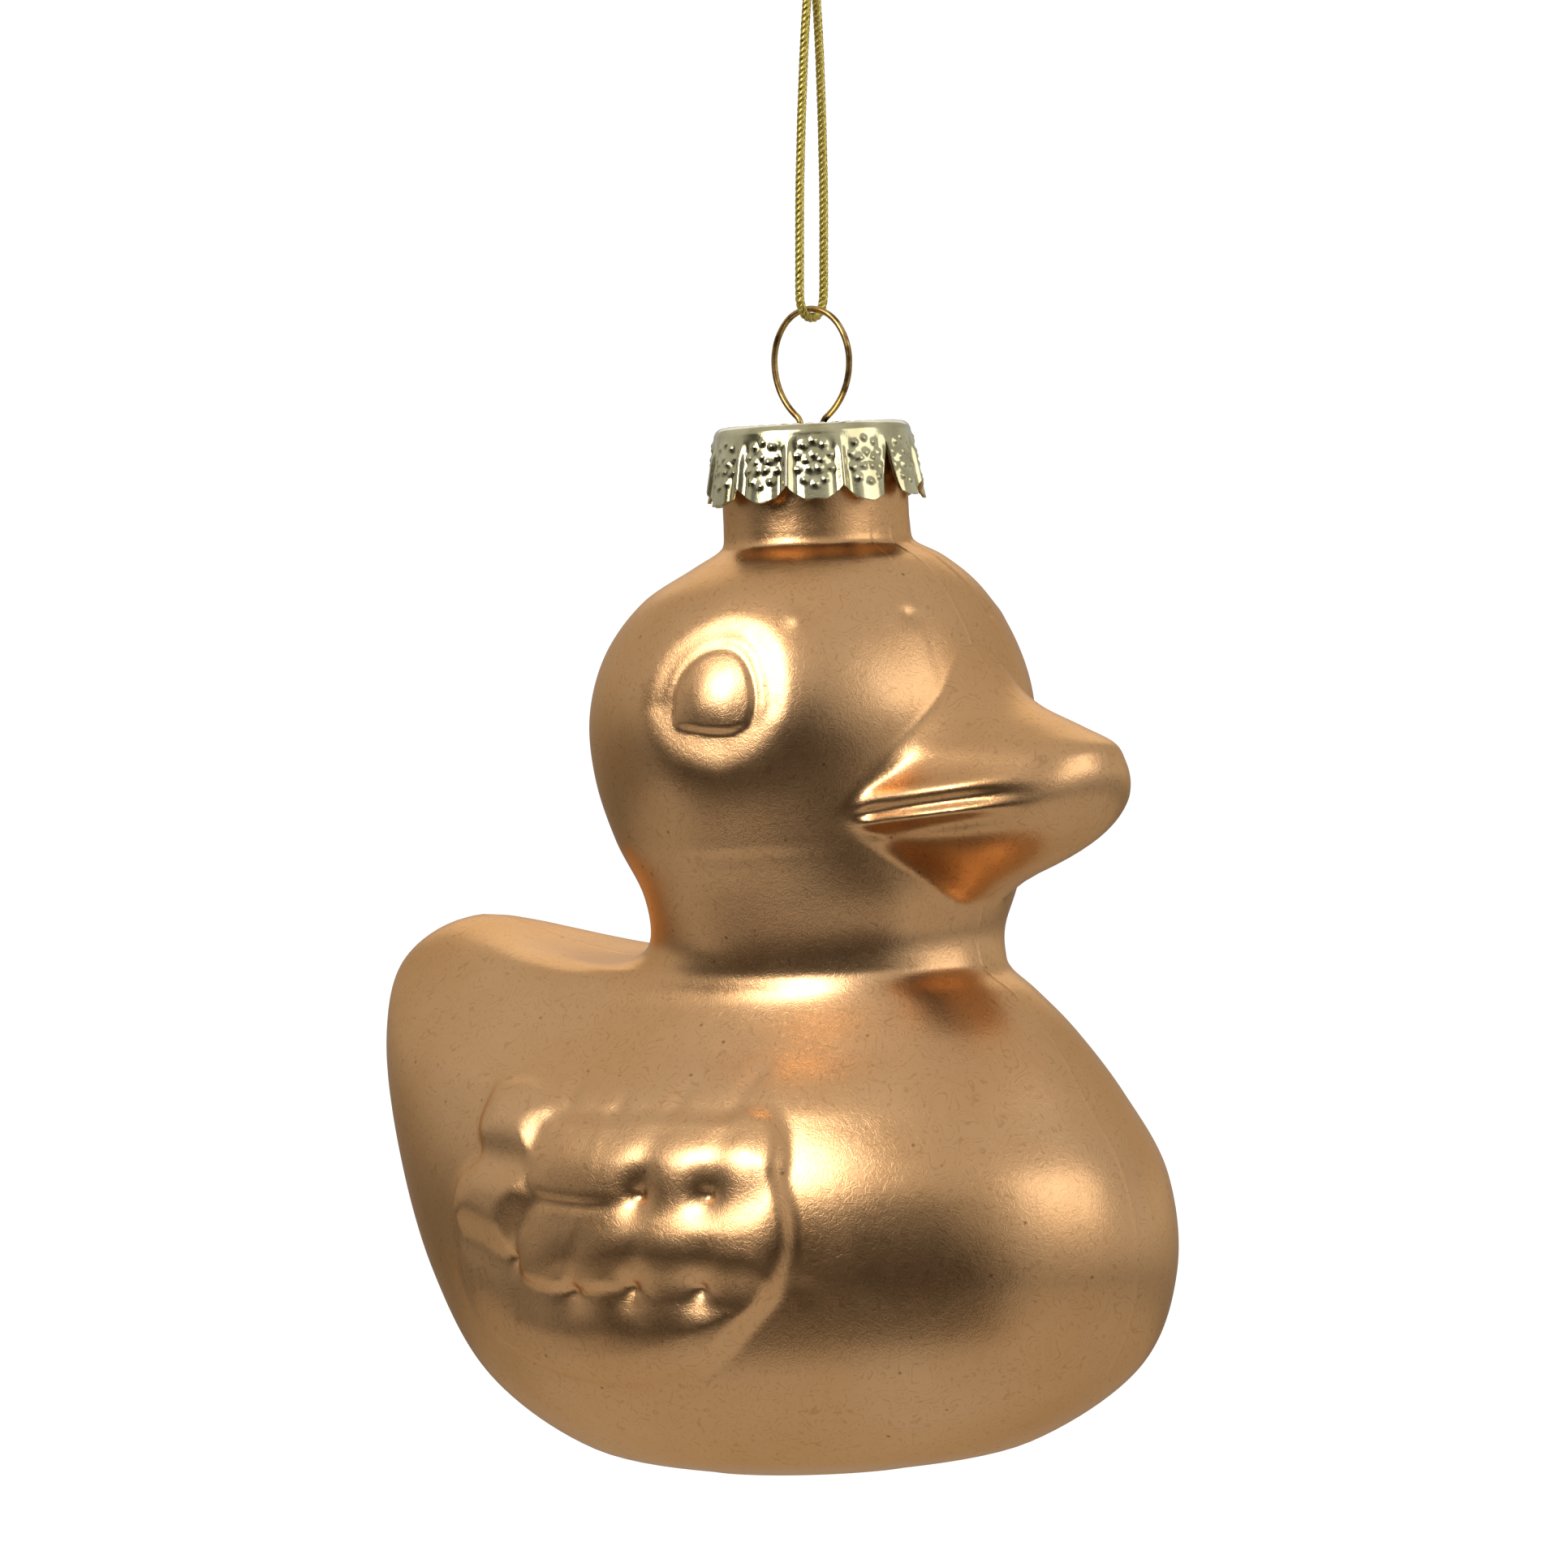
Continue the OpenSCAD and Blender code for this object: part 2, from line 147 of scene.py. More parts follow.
def gap_to(x: Array, z: Array, line: Array) -> Array:
    """Distance from each place to an open line of straight steps."""
    least = np.full(np.shape(x), np.inf)
    for (ax, az), (bx, bz) in zip(line[:-1], line[1:]):
        ex, ez = bx - ax, bz - az
        t = np.clip(((x - ax) * ex + (z - az) * ez) / (ex * ex + ez * ez + 1e-12), 0, 1)
        least = np.minimum(least, np.hypot(x - ax - t * ex, z - az - t * ez))
    return least


def depth_inside(x: Array, z: Array, outline: Array) -> Array:
    """Distance from each place to a closed outline, negative outside it.

    A place is inside where a level ray from it crosses the outline an odd number of times.
    """
    inside = np.zeros(np.shape(x), bool)
    for (ax, az), (bx, bz) in zip(outline, np.roll(outline, -1, axis=0)):
        if az != bz:
            inside ^= ((az > z) != (bz > z)) & (x < (bx - ax) * (z - az) / (bz - az) + ax)
    far = gap_to(x, z, np.vstack([outline, outline[:1]]))
    return np.where(inside, far, -far)


def spread(stops: Sequence[Place], most: float) -> Array:
    """Places from the first stop to the last, as close together as the stops ask.

    Args:
        stops: Pairs of place and spacing; the spacing changes evenly between them.
        most: Number of steps to end with, to which all the spacings are scaled.

    Returns:
        The places, first and last included.
    """
    at, gap = np.asarray(stops, float).T
    fine = np.linspace(at[0], at[-1], 4001)
    count = np.concatenate([[0], np.cumsum(np.diff(fine) / np.interp(fine[:-1], at, gap))])
    return np.interp(np.linspace(0, count[-1], int(most) + 1), count, fine)


def ring_quads(rows: int, cols: int, start: int = 0, closed: bool = False) -> Array:
    """Faces of a grid whose columns close into rings, and its rows too if closed."""
    i = np.arange(rows if closed else rows - 1)[:, None]
    j = np.arange(cols)[None, :]
    a, b = i * cols, (i + 1) % rows * cols
    k = (j + 1) % cols
    return start + np.stack([a + j, b + j, b + k, a + k], -1).reshape(-1, 4)


def ring_join(outer: int, n_outer: int, inner: int, n_inner: int) -> Array:
    """Triangles from an outer ring to one with a whole share of its points."""
    share = n_outer // n_inner
    j = np.arange(n_inner)[:, None]
    s = np.arange(share)[None, :]
    o = outer + share * j + s
    fans = np.stack([o, np.broadcast_to(inner + j, o.shape),
                     outer + (share * j + s + 1) % n_outer], -1).reshape(-1, 3)
    caps = np.stack([outer + share * (j + 1) % n_outer, inner + j,
                     inner + (j + 1) % n_inner], -1).reshape(-1, 3)
    return np.vstack([fans, caps])


def fan(middle: int, ring: int, n: int) -> Array:
    """Triangles from a middle point to a ring of n points."""
    j = np.arange(n)
    return np.stack([np.full(n, middle), ring + j, ring + (j + 1) % n], -1)


def into_scene(name: str, data: bpy.types.ID) -> Piece:
    """A new object that holds the data, linked to the scene."""
    made = bpy.data.objects.new(name, data)
    bpy.context.scene.collection.objects.link(made)
    return made


def make_mesh(name: str, points: Array, faces: Iterable[Array]) -> Piece:
    """A smooth-shaded object at the origin, with its faces turned to point outwards.

    The sign of the volume that the faces enclose (a sixth of the sum of each triangle's
    triple product) says whether they point out or in.

    Args:
        name: Name of the object and its mesh.
        points: Places in metres, in the row frame.
        faces: Arrays of faces with three or four corners each.

    Returns:
        The new object, linked to the scene.
    """
    faces = [np.asarray(f, np.int64) for f in faces]
    tris = np.vstack([np.vstack([f[:, [0, i, i + 1]] for i in range(1, f.shape[1] - 1)])
                      for f in faces])
    a, b, c = (points[tris[:, k]] for k in range(3))
    if np.einsum("ij,ij->i", a, np.cross(b, c)).sum() < 0:
        faces = [f[:, ::-1] for f in faces]
    loops = np.concatenate([f.ravel() for f in faces]).astype(np.int32)
    totals = np.concatenate([np.full(len(f), f.shape[1]) for f in faces]).astype(np.int32)
    mesh = bpy.data.meshes.new(name)
    mesh.vertices.add(len(points))
    mesh.vertices.foreach_set("co", np.asarray(points, np.float32).ravel())
    mesh.loops.add(len(loops))
    mesh.loops.foreach_set("vertex_index", loops)
    mesh.polygons.add(len(totals))
    mesh.polygons.foreach_set("loop_start", np.concatenate([[0], np.cumsum(totals)[:-1]]))
    mesh.polygons.foreach_set("loop_total", totals)
    mesh.polygons.foreach_set("use_smooth", np.ones(len(totals), bool))
    mesh.update(calc_edges=True)
    mesh.validate()
    return into_scene(name, mesh)


def make_sheet(name: str, points: Array, faces: Iterable[Array]) -> Piece:
    """An open sheet for the stage, flat-shaded and linked to the scene."""
    mesh = bpy.data.meshes.new(name)
    mesh.from_pydata(points.reshape(-1, 3).tolist(), [],
                     [face.tolist() for group in faces for face in group])
    return into_scene(name, mesh)


def frames_along(path: Array) -> tuple[Array, Array]:
    """Ways across a path, found from its slope and the plane that fits it best.

    Args:
        path: Places along the middle of the tube.

    Returns:
        The way across the path in its plane at each place, and the way square to the plane.
    """
    flat = np.linalg.svd(path - path.mean(0), full_matrices=False)[2][2]
    square = np.broadcast_to(flat, path.shape)
    return unit(np.cross(square, unit(np.gradient(path, axis=0)))), square


def carry(path: Array, across: Array, square: Array, radius: Array, sides: int) -> Array:
    """Rings of a tube: the path plus a circle of the radius in the two ways across it."""
    turn = turns(sides)
    out = (np.cos(turn)[None, :, None] * across[:, None]
           + np.sin(turn)[None, :, None] * square[:, None])
    return path[:, None] + np.asarray(radius)[:, None, None] * out


def tube_faces(rows: int, sides: int, start: int) -> list[Array]:
    """Faces of a tube with a fan at each end; its two end points follow its rings."""
    low, high = start + rows * sides, start + rows * sides + 1
    return [ring_quads(rows, sides, start),
            fan(low, start, sides)[:, ::-1], fan(high, start + (rows - 1) * sides, sides)]


def resample(path: Array, step: float) -> Array:
    """The same path as places a step apart."""
    run = np.concatenate([[0], np.cumsum(np.linalg.norm(np.diff(path, axis=0), axis=1))])
    at = np.linspace(0, run[-1], max(int(round(run[-1] / step)), 2) + 1)
    return np.stack([np.interp(at, run, path[:, k]) for k in range(3)], -1)


def linear(code: str) -> tuple[float, float, float, float]:
    """An sRGB hex colour as linear light, with full alpha."""
    shares = [int(code[i:i + 2], 16) / 255 for i in (1, 3, 5)]
    return (*(s / 12.92 if s <= 0.04045 else ((s + 0.055) / 1.055) ** 2.4
              for s in shares), 1.0)


def add(tree: Tree, kind: str, inputs: dict[Any, Any] | None = None,
        **settings: Any) -> Node:
    """Adds a node with its settings, socket values and links.

    Args:
        tree: The material's or world's node tree.
        kind: The node's type without its leading ShaderNode.
        inputs: Socket name or number, and the value or the output socket that feeds it.
        **settings: The node's own settings.

    Returns:
        The new node.
    """
    node = tree.nodes.new("ShaderNode" + kind)
    for key, value in settings.items():
        setattr(node, key, value)
    for key, value in (inputs or {}).items():
        if isinstance(value, Socket):
            tree.links.new(value, node.inputs[key])
        else:
            node.inputs[key].default_value = value
    return node


def ramp(tree: Tree, fac: Socket,
         stops: Sequence[tuple[float, Any]]) -> Socket:
    """A colour ramp through hex colours or grey values, and its colour output."""
    node = add(tree, "ValToRGB", {0: fac})
    band = node.color_ramp.elements
    while len(band) < len(stops):
        band.new(0.5)
    for element, (place, value) in zip(band, stops):
        element.position = place
        element.color = linear(value) if isinstance(value, str) else (value,) * 3 + (1,)
    return node.outputs["Color"]


def noise(tree: Tree, grain_mm: float, detail: float, **more: float) -> Socket:
    """Noise over the object's own place, in grains of about the size given."""
    at = add(tree, "TexCoord").outputs["Object"]
    return add(tree, "TexNoise", {"Vector": at, "Scale": 1 / (grain_mm * MM),
                                  "Detail": detail, **more}).outputs[0]


def mixed(tree: Tree, share: Socket, colour: Socket, other: str) -> Socket:
    """The colour with a share of another one, given as hex."""
    return add(tree, "Mix", {0: share, 6: colour, 7: linear(other)},
               data_type="RGBA").outputs[2]


def between(tree: Tree, value: Socket, low: float, high: float) -> Socket:
    """A value from 0 to 1 stretched to run from low to high."""
    return add(tree, "MapRange", {0: value, 3: low, 4: high}).outputs[0]


def bumped(tree: Tree, height: Socket, high_mm: float, strength: float,
           **under: Socket) -> Socket:
    """The normal of a surface with a bump on it, over another bump's Normal if given."""
    return add(tree, "Bump", {"Height": height, "Distance": high_mm * MM,
                              "Strength": strength, **under}).outputs[0]


def metal(tree: Tree, colour: Socket, gloss: Any, normal: Socket,
          more: dict[str, Any] | None = None) -> Node:
    """A metal shader from its colour, roughness, normal and further sockets."""
    return add(tree, "BsdfPrincipled", {
        "Base Color": colour, "Metallic": 1.0, "Roughness": gloss, "Normal": normal,
        **(more or {})})


@dataclass(frozen=True)
class Finish:
    """A procedural material; each kind draws its own shader."""

    name: str

    def shader(self, tree: Tree) -> Node:
        """Draws the shader's nodes and returns the shader."""
        raise NotImplementedError

    def material(self) -> bpy.types.Material:
        """The finish as a new material."""
        made = bpy.data.materials.new(self.name)
        made.use_nodes = True
        tree = made.node_tree
        tree.nodes.clear()
        shader = self.shader(tree)
        add(tree, "OutputMaterial", {0: shader.outputs[0]})
        return made


@dataclass(frozen=True)
class SatinLacquer(Finish):
    """Copper-gold satin lacquer sprayed on blown glass: it glows like brushed metal.

    The lacquer shrinks into short worm-like wrinkles and strokes less than a millimetre
    apart, and here and there a fleck of dust lies under it. The strokes are contour lines
    of a soft noise (the sine of the noise times line_turns), cut short by a finer one.
    """

    base: str = "#DFB282"
    warm: str = "#D6A470"
    edge: str = "#F6E0C2"
    fleck: str = "#6B4426"
    stroke: str = "#7A4212"
    line_turns: float = 75.0
    stroke_depth: float = 0.22
    roughness: float = 0.3
    wrinkle_mm: float = 0.7
    cloud_mm: float = 18.0
    fleck_mm: float = 3.2
    coat: float = 0.06

    def shader(self, tree: Tree) -> Node:
        """Clouded metal colour, flecks, strokes, uneven gloss and a wrinkled bump."""
        soft_mm = 4 * self.wrinkle_mm
        colour = ramp(tree, noise(tree, self.cloud_mm, 3.0),
                      [(0.3, self.warm), (0.7, self.base)])
        at = add(tree, "TexCoord").outputs["Object"]
        speck = add(tree, "TexVoronoi", {
            "Vector": at, "Scale": 1 / (self.fleck_mm * MM)}).outputs["Distance"]
        spot = ramp(tree, speck, [(0.0, 0.75), (0.04, 0.5), (0.07, 0.0)])
        colour = mixed(tree, spot, colour, self.fleck)
        worm = noise(tree, self.wrinkle_mm, 1.0, Distortion=1.6)
        swirl = noise(tree, soft_mm, 1.0, Distortion=0.8)
        wave = add(tree, "Math", {0: swirl, 1: self.line_turns}, operation="MULTIPLY")
        wave = add(tree, "Math", {0: wave.outputs[0]}, operation="SINE")
        line = ramp(tree, wave.outputs[0], [(0.6, 0.0), (0.95, 1.0)])
        cut = ramp(tree, worm, [(0.42, 0.0), (0.56, self.stroke_depth)])
        stroke = add(tree, "Math", {0: line, 1: cut}, operation="MULTIPLY").outputs[0]
        colour = mixed(tree, stroke, colour, self.stroke)
        ridge = ramp(tree, worm, [(0.38, 0.0), (0.5, 1.0), (0.62, 0.0)])
        orange = noise(tree, soft_mm, 2.0)
        gloss = between(tree, orange, self.roughness - 0.03, self.roughness + 0.05)
        low = bumped(tree, orange, 0.06, 0.25)
        fine = bumped(tree, ridge, 0.012, 0.38, Normal=low)
        return metal(tree, colour, gloss, fine, {
            "Specular Tint": linear(self.edge), "Coat Weight": self.coat,
            "Coat Roughness": 0.2})


@dataclass(frozen=True)
class BrightSheet(Finish):
    """Tinplate anodised pale gold and stamped: near-mirror bright, with drawing marks."""

    base: str = "#DAD2AA"
    dull: str = "#BDB48C"
    roughness: float = 0.14
    cloud_mm: float = 2.5
    mark_mm: float = 0.35

    def shader(self, tree: Tree) -> Node:
        """Bright metal with a little crinkle from stamping and uneven gloss."""
        cloud = noise(tree, self.cloud_mm, 2.0)
        colour = ramp(tree, cloud, [(0.35, self.dull), (0.65, self.base)])
        crinkle = noise(tree, self.mark_mm, 3.0, Roughness=0.6)
        gloss = between(tree, cloud, self.roughness - 0.04, self.roughness + 0.08)
        return metal(tree, colour, gloss, bumped(tree, crinkle, 0.02, 0.5))


@dataclass(frozen=True)
class DrawnWire(Finish):
    """Drawn brass spring wire, golden with brown tarnish where it was handled."""

    base: str = "#C9A566"
    tarnish: str = "#7A5A32"
    roughness: float = 0.26
    cloud_mm: float = 1.6
    grit_mm: float = 0.12

    def shader(self, tree: Tree) -> Node:
        """Brass with cloudy tarnish and a fine grit."""
        cloud = noise(tree, self.cloud_mm, 4.0)
        colour = ramp(tree, cloud, [(0.4, self.tarnish), (0.56, self.base)])
        gloss = between(tree, cloud, self.roughness + 0.12, self.roughness - 0.04)
        grit = noise(tree, self.grit_mm, 2.0)
        return metal(tree, colour, gloss, bumped(tree, grit, 0.008, 0.4))


@dataclass(frozen=True)
class MetallicYarn(Finish):
    """Foil-wrapped yarn: olive-gold foil wound round a dark core, darker in the hollows
    between the wraps (painted shade) and paler on their high places (painted glints).
    """

    # Colours: the foil, the painted shade in the hollows between the wraps, and the painted
    # glints on their high places
    foil: str = "#D8C05A"
    shade: str = "#5E4C1C"
    painted_glint: str = "#F2E7A4"
    wrap_mm: float = 0.16

    def shader(self, tree: Tree) -> Node:
        """Fine wraps of foil across the yarn, by its own UV in millimetres. The colour
        follows the bump's height: painted shade where it is low, painted glints where it is
        high.
        """
        at = add(tree, "TexCoord").outputs["UV"]
        spot = add(tree, "TexNoise", {"Vector": at, "Scale": 1 / self.wrap_mm,
                                      "Detail": 3.0, "Distortion": 0.6}).outputs[0]
        # Painted shade low on the wraps, plain foil between, painted glints high on them
        colour = ramp(tree, spot, [(0.34, self.shade), (0.5, self.foil), (0.8, self.painted_glint)])
        return metal(tree, colour, 0.34, bumped(tree, spot, 0.02, 0.7), {"Metallic": 0.85})


@dataclass(frozen=True)
class PaleFloor(Finish):
    """Matt studio paper: even and faintly mottled."""

    base: str = "#C6C4C0"
    mottle: str = "#C0BEBA"

    def shader(self, tree: Tree) -> Node:
        """A matt paper with the slightest mottling."""
        at = add(tree, "TexCoord").outputs["Object"]
        cloud = add(tree, "TexNoise", {"Vector": at, "Scale": 6.0}).outputs[0]
        colour = ramp(tree, cloud, [(0.3, self.mottle), (0.7, self.base)])
        return add(tree, "BsdfPrincipled", {
            "Base Color": colour, "Roughness": 0.9, "Specular IOR Level": 0.1})


@dataclass(frozen=True)
class BlackNet(Finish):
    """Black studio net, as dense as the mesh's cover layer says."""

    base: str = "#26190F"

    def shader(self, tree: Tree) -> Node:
        """Matt black cloth mixed with clear gaps by the cover."""
        cover = add(tree, "Attribute", attribute_name="cover").outputs["Fac"]
        clear = add(tree, "BsdfTransparent")
        cloth = add(tree, "BsdfDiffuse", {"Color": linear(self.base)})
        return add(tree, "MixShader", {0: cover, 1: clear.outputs[0], 2: cloth.outputs[0]})


def dress(piece: Piece, finish: Finish, slot: str, body: Body,
          *nodes: str) -> Piece:
    """Gives a piece its finish and its body, and hides the imported nodes it stands for."""
    piece.data.materials.clear()
    piece.data.materials.append(finish.material())
    if nodes:
        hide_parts(*nodes)
    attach(piece, body.value)
    log.info("%s: %d faces on %s", piece.name, len(piece.data.polygons), body.value)
    return piece


@dataclass(frozen=True)
class Hang:
    """How the cap and the glass hang: the crown's place and the lean of the neck."""

    crown: float
    tilt: float

    @classmethod
    def from_joint(cls) -> "Hang":
        """Reads the crown and the lean from the joint on which the cap turns."""
        joint = next(j for j in frame["record"]["behaviour"]["joints"]
                     if j["name"] == "cap_swivel")
        x, _, z = joint["axis"]
        return cls(joint["pos_m"][2] / MM, math.atan2(-x, z))

    def place(self, points: Array) -> Array:
        """Turns points from millimetres about the crown into metres in the row frame.

        The lean turns them about Y so that the beak rises, and then they drop to the crown.
        """
        x, y, z = np.moveaxis(points, -1, 0)
        s, c = math.sin(self.tilt), math.cos(self.tilt)
        return np.stack([x * c - z * s, y, x * s + z * c + self.crown], -1) * MM


BODY_SHARES = (
    (0.325, 0, 0.14, 0, 0.3, 0.105), (0.562, 0.052, 0.52, 0.043, 0.615, 0.116),
    (0.762, 0.196, 0.868, 0.174, 0.882, 0.126), (0.88, 0.402, 1, 0.348, 0.988, 0.137),
    (0.955, 0.641, 0.98, 0.533, 1, 0.137), (1, 0.848, 0.854, 0.685, 0.89, 0.126),
    (0.984, 0.986, 0.741, 0.804, 0.69, 0.105), (0.834, 1.053, 0.623, 0.883, 0.575, 0.084),
    (0.627, 1.0, 0.533, 0.925, 0.545, 0.063), (0.467, 0.97, 0.51, 0.955, 0.54, 0.053),
)
HEAD_SHARES = (
    (0.82, -0.01, 0.87, 0.01, 0.745, 0.09), (0.79, 0.119, 0.945, 0.125, 0.82, 0.087),
    (0.904, 0.268, 0.945, 0.262, 0.925, 0.082), (0.986, 0.432, 0.989, 0.417, 0.992, 0.082),
    (1, 0.595, 1, 0.583, 1, 0.077), (0.918, 0.75, 0.909, 0.738, 0.926, 0.062),
    (0.75, 0.875, 0.773, 0.869, 0.766, 0.034),
)
SHOULDER_SHARES = ((1.36, -0.2), (1.03, 0), (0.975, 0.2))
BEAK_SHARES = (
    (-0.4, 0.4, 0.1), (-0.32, 0.6, 0.36), (-0.24, 0.76, 0.58), (-0.16, 0.87, 0.78),
    (-0.08, 0.94, 0.92), (0, 0.98, 1), (0.08, 1, 0.97), (0.16, 1, 0.88),
    (0.24, 0.975, 0.77), (0.31, 0.875, 0.65), (0.39, 0.745, 0.52), (0.47, 0.65, 0.38),
    (0.56, 0.56, 0.25), (0.65, 0.45, 0.1),
)
# Outlines on the duck's side as (forward, up): millimetres before the neck's axis and above
# the foot
EYE_RIM = (
    (-1.5, 64.6), (-1.75, 66.4), (-1.6, 68.0), (-0.8, 69.6), (1.1, 71.0), (3.1, 71.2),
    (4.6, 70.2), (5.6, 68.2), (5.9, 66.2), (5.4, 64.6), (3.7, 64.0), (1.2, 64.2),
)
SOCKET_RING = (
    (-5.3, 65.9), (-4.8, 68.6), (-3.2, 71.3), (-0.5, 73.2), (2.4, 74.1), (5.7, 73.2),
    (7.8, 70.8), (8.7, 67.4), (8.1, 64.2), (6.1, 61.9), (3.2, 60.6), (-0.2, 61.1),
    (-3.1, 62.6),
)
WING_RIM = (
    (-22.4, 33.2), (-21.4, 35.2), (-17.5, 35.4), (-13.6, 34.0), (-11.4, 32.4), (-7.0, 32.1),
    (-1.8, 32.4), (3.6, 32.1), (5.8, 32.6), (8.1, 32.0), (9.4, 30.4), (10.0, 28.3),
    (10.1, 26.7), (10.9, 24.6), (11.3, 22.4), (11.0, 20.0), (9.5, 17.0), (6.8, 14.4),
    (3.7, 11.9), (1.2, 10.6), (-2.0, 9.6), (-6.6, 9.0), (-11.0, 9.2), (-15.3, 10.0),
    (-20.3, 11.6), (-24.2, 13.8), (-26.0, 17.0), (-25.7, 20.6), (-25.8, 23.0),
    (-26.0, 25.0), (-24.7, 27.3), (-21.8, 29.0), (-22.6, 31.0),
)
PADS = {
    "upper lobe": (
        (-22.4, 33.2), (-21.4, 35.2), (-17.5, 35.4), (-13.8, 34.0), (-12.9, 32.2),
        (-14.2, 30.2), (-14.7, 28.1), (-17.9, 28.7), (-21.8, 29.1), (-22.7, 31.0),
    ),
    "lower lobe": (
        (-21.8, 29.0), (-17.9, 28.6), (-14.7, 28.0), (-14.0, 25.6), (-14.3, 24.6),
        (-15.8, 22.8), (-17.0, 20.8), (-18.3, 20.4), (-22.0, 21.7), (-25.6, 22.6),
        (-26.0, 25.0), (-24.7, 27.3),
    ),
    "first row": (
        (-12.8, 32.1), (-14.2, 30.2), (-14.8, 28.2), (-14.2, 26.0), (-12.8, 25.2),
        (-8.6, 24.8), (-5.4, 24.8), (-2.9, 25.2), (0.4, 25.0), (3.6, 25.1), (7.2, 25.6),
        (10.0, 26.8), (10.0, 28.3), (9.4, 30.4), (8.1, 32.0), (5.8, 32.6), (3.6, 32.0),
        (-1.8, 32.4), (-7.0, 32.1),
    ),
    "second row": (
        (-13.8, 24.8), (-15.6, 23.0), (-16.9, 20.9), (-16.6, 19.1), (-15.2, 18.1),
        (-10.4, 17.4), (-7.2, 17.7), (-3.9, 17.5), (-0.4, 17.8), (2.8, 17.4), (6.7, 17.4),
        (9.5, 17.2), (11.0, 20.2), (11.3, 22.4), (10.8, 24.8), (10.0, 26.6), (7.2, 25.4),
        (3.6, 24.9), (0.4, 24.8), (-2.9, 25.0), (-5.4, 24.6), (-8.6, 24.6),
    ),
    "lower tier": (
        (-25.8, 22.2), (-22.0, 21.4), (-18.4, 20.2), (-16.8, 19.0), (-15.2, 17.8),
        (-10.4, 17.2), (-7.2, 17.4), (-3.9, 17.2), (-0.4, 17.4), (2.8, 17.2), (6.7, 17.2),
        (9.4, 17.0), (6.8, 14.4), (3.7, 11.9), (1.2, 10.6), (-2.0, 9.6), (-6.6, 9.0),
        (-11.0, 9.2), (-15.3, 10.0), (-20.3, 11.6), (-24.2, 13.8), (-26.0, 17.0),
    ),
}
# Each pad's height, the width of its edge, the share of that edge which is sunk at its
# outline, and how much thicker it grows downwards
PAD_EDGES = {"upper lobe": (1.05, 3.0, 0.24, 0.0), "lower lobe": (1.0, 3.4, 0.22, 0.2),
             "first row": (0.5, 3.6, 0.3, 0.2), "second row": (0.6, 3.4, 0.3, 0.8),
             "lower tier": (0.65, 4.0, 0.26, 0.3)}
# Tufting pits at the corners of the feathers: place, depth and half width
PITS = (
    ((-2.9, 25.5), 0.5, 0.6), ((3.7, 25.4), 0.5, 0.6), ((-10.4, 17.7), 0.42, 0.6),
    ((-3.9, 17.8), 0.46, 0.6), ((2.8, 17.6), 0.46, 0.6), ((-17.2, 20.2), 0.4, 0.5),
)
# Soft valleys between the feathers of a row, each from its pit up, and their depths
VALLEYS = (
    (((-2.9, 25.4), (-2.4, 27.6), (-1.7, 30.4)), 0.26),
    (((3.6, 25.3), (4.0, 27.4), (4.2, 29.6)), 0.28),
    (((-10.4, 17.5), (-9.8, 19.4), (-9.2, 21.5)), 0.22),
    (((-3.9, 17.6), (-3.4, 20.0), (-2.9, 23.0)), 0.28),
    (((2.8, 17.4), (3.1, 19.2), (3.4, 21.2)), 0.25),
)
# Short creases that run up from the tops of the feathers
CREASES = (
    ((-12.6, 32.4), (-12.5, 34.6)), ((-7.0, 32.0), (-6.8, 33.2)),
    ((-1.2, 32.4), (-0.9, 34.0)), ((4.1, 32.6), (4.8, 35.0)),
)
# Ridge that a scratch in the mould leaves across the rows
MOULD_LINE = ((-7.2, 31.4), (-7.7, 28.3), (-8.1, 25.0), (-9.0, 23.7), (-11.1, 19.6))
# Lips and grooves about the line of the mouth: height, place above the line, half width
LIPS = ((0.5, 1.55, 0.75), (-0.3, 3.6, 1.3), (0.3, -0.75, 0.42), (-0.5, -1.75, 0.7))
# Dents (and bumps, with a minus) on the brow and beside the wing: place, depth, half width
DENTS = (
    ((8.2, 12.9, 74.6), 0.16, 0.9), ((7.8, 13.2, 73.2), -0.2, 0.9),
    ((10.4, 11.4, 73.0), -0.08, 0.8), ((13.8, 5.6, 73.3), 0.26, 0.7),
    ((11.6, 21.9, 17.3), 0.16, 1.1),
)
# Boxes on the duck's side that hold the eye and the wing: middle, and half width and height
EYE_BOX = ((2.0, 67.5), (15, 15))
WING_BOX = ((-7.5, 22), (24, 18))
# Spacing of the rows by height, and of the columns by angle: closest over the mouth, the
# eyes and the wings
ROW_GAPS = (
    (0, 1.0), (7, 0.8), (10, 0.36), (34, 0.36), (42, 0.5), (44, 0.25), (50, 0.8), (54, 0.5),
    (55, 0.22), (59, 0.22), (60, 0.3), (75, 0.3), (77, 0.6), (79, 0.4), (81, 0.4),
)
COLUMN_GAPS = (
    (0, 0.35), (1.5, 0.35), (3, 1.1), (45, 1.0), (54, 0.55), (118, 0.55), (128, 1.3),
    (177, 1.5), (178, 0.6), (180, 0.4),
)


def local(form: Callable[[Array, Array], Array], x: Array, z: Array,
          middle: Place, half: Place) -> Array:
    """A form that is worked out only inside a box on the duck's side, and 0 elsewhere."""
    near = (np.abs(x - middle[0]) < half[0]) & (np.abs(z - middle[1]) < half[1])
    out = np.zeros(np.shape(x))
    out[near] = form(x[near], z[near])
    return out


def level_rings(rows: Iterable[Place], turn: Array) -> Array:
    """Level circles about the neck's axis, one for each radius and height."""
    r, h = np.asarray(list(rows), float).T[..., None]
    return np.stack([r * np.cos(turn), r * np.sin(turn), h + 0 * turn], -1)


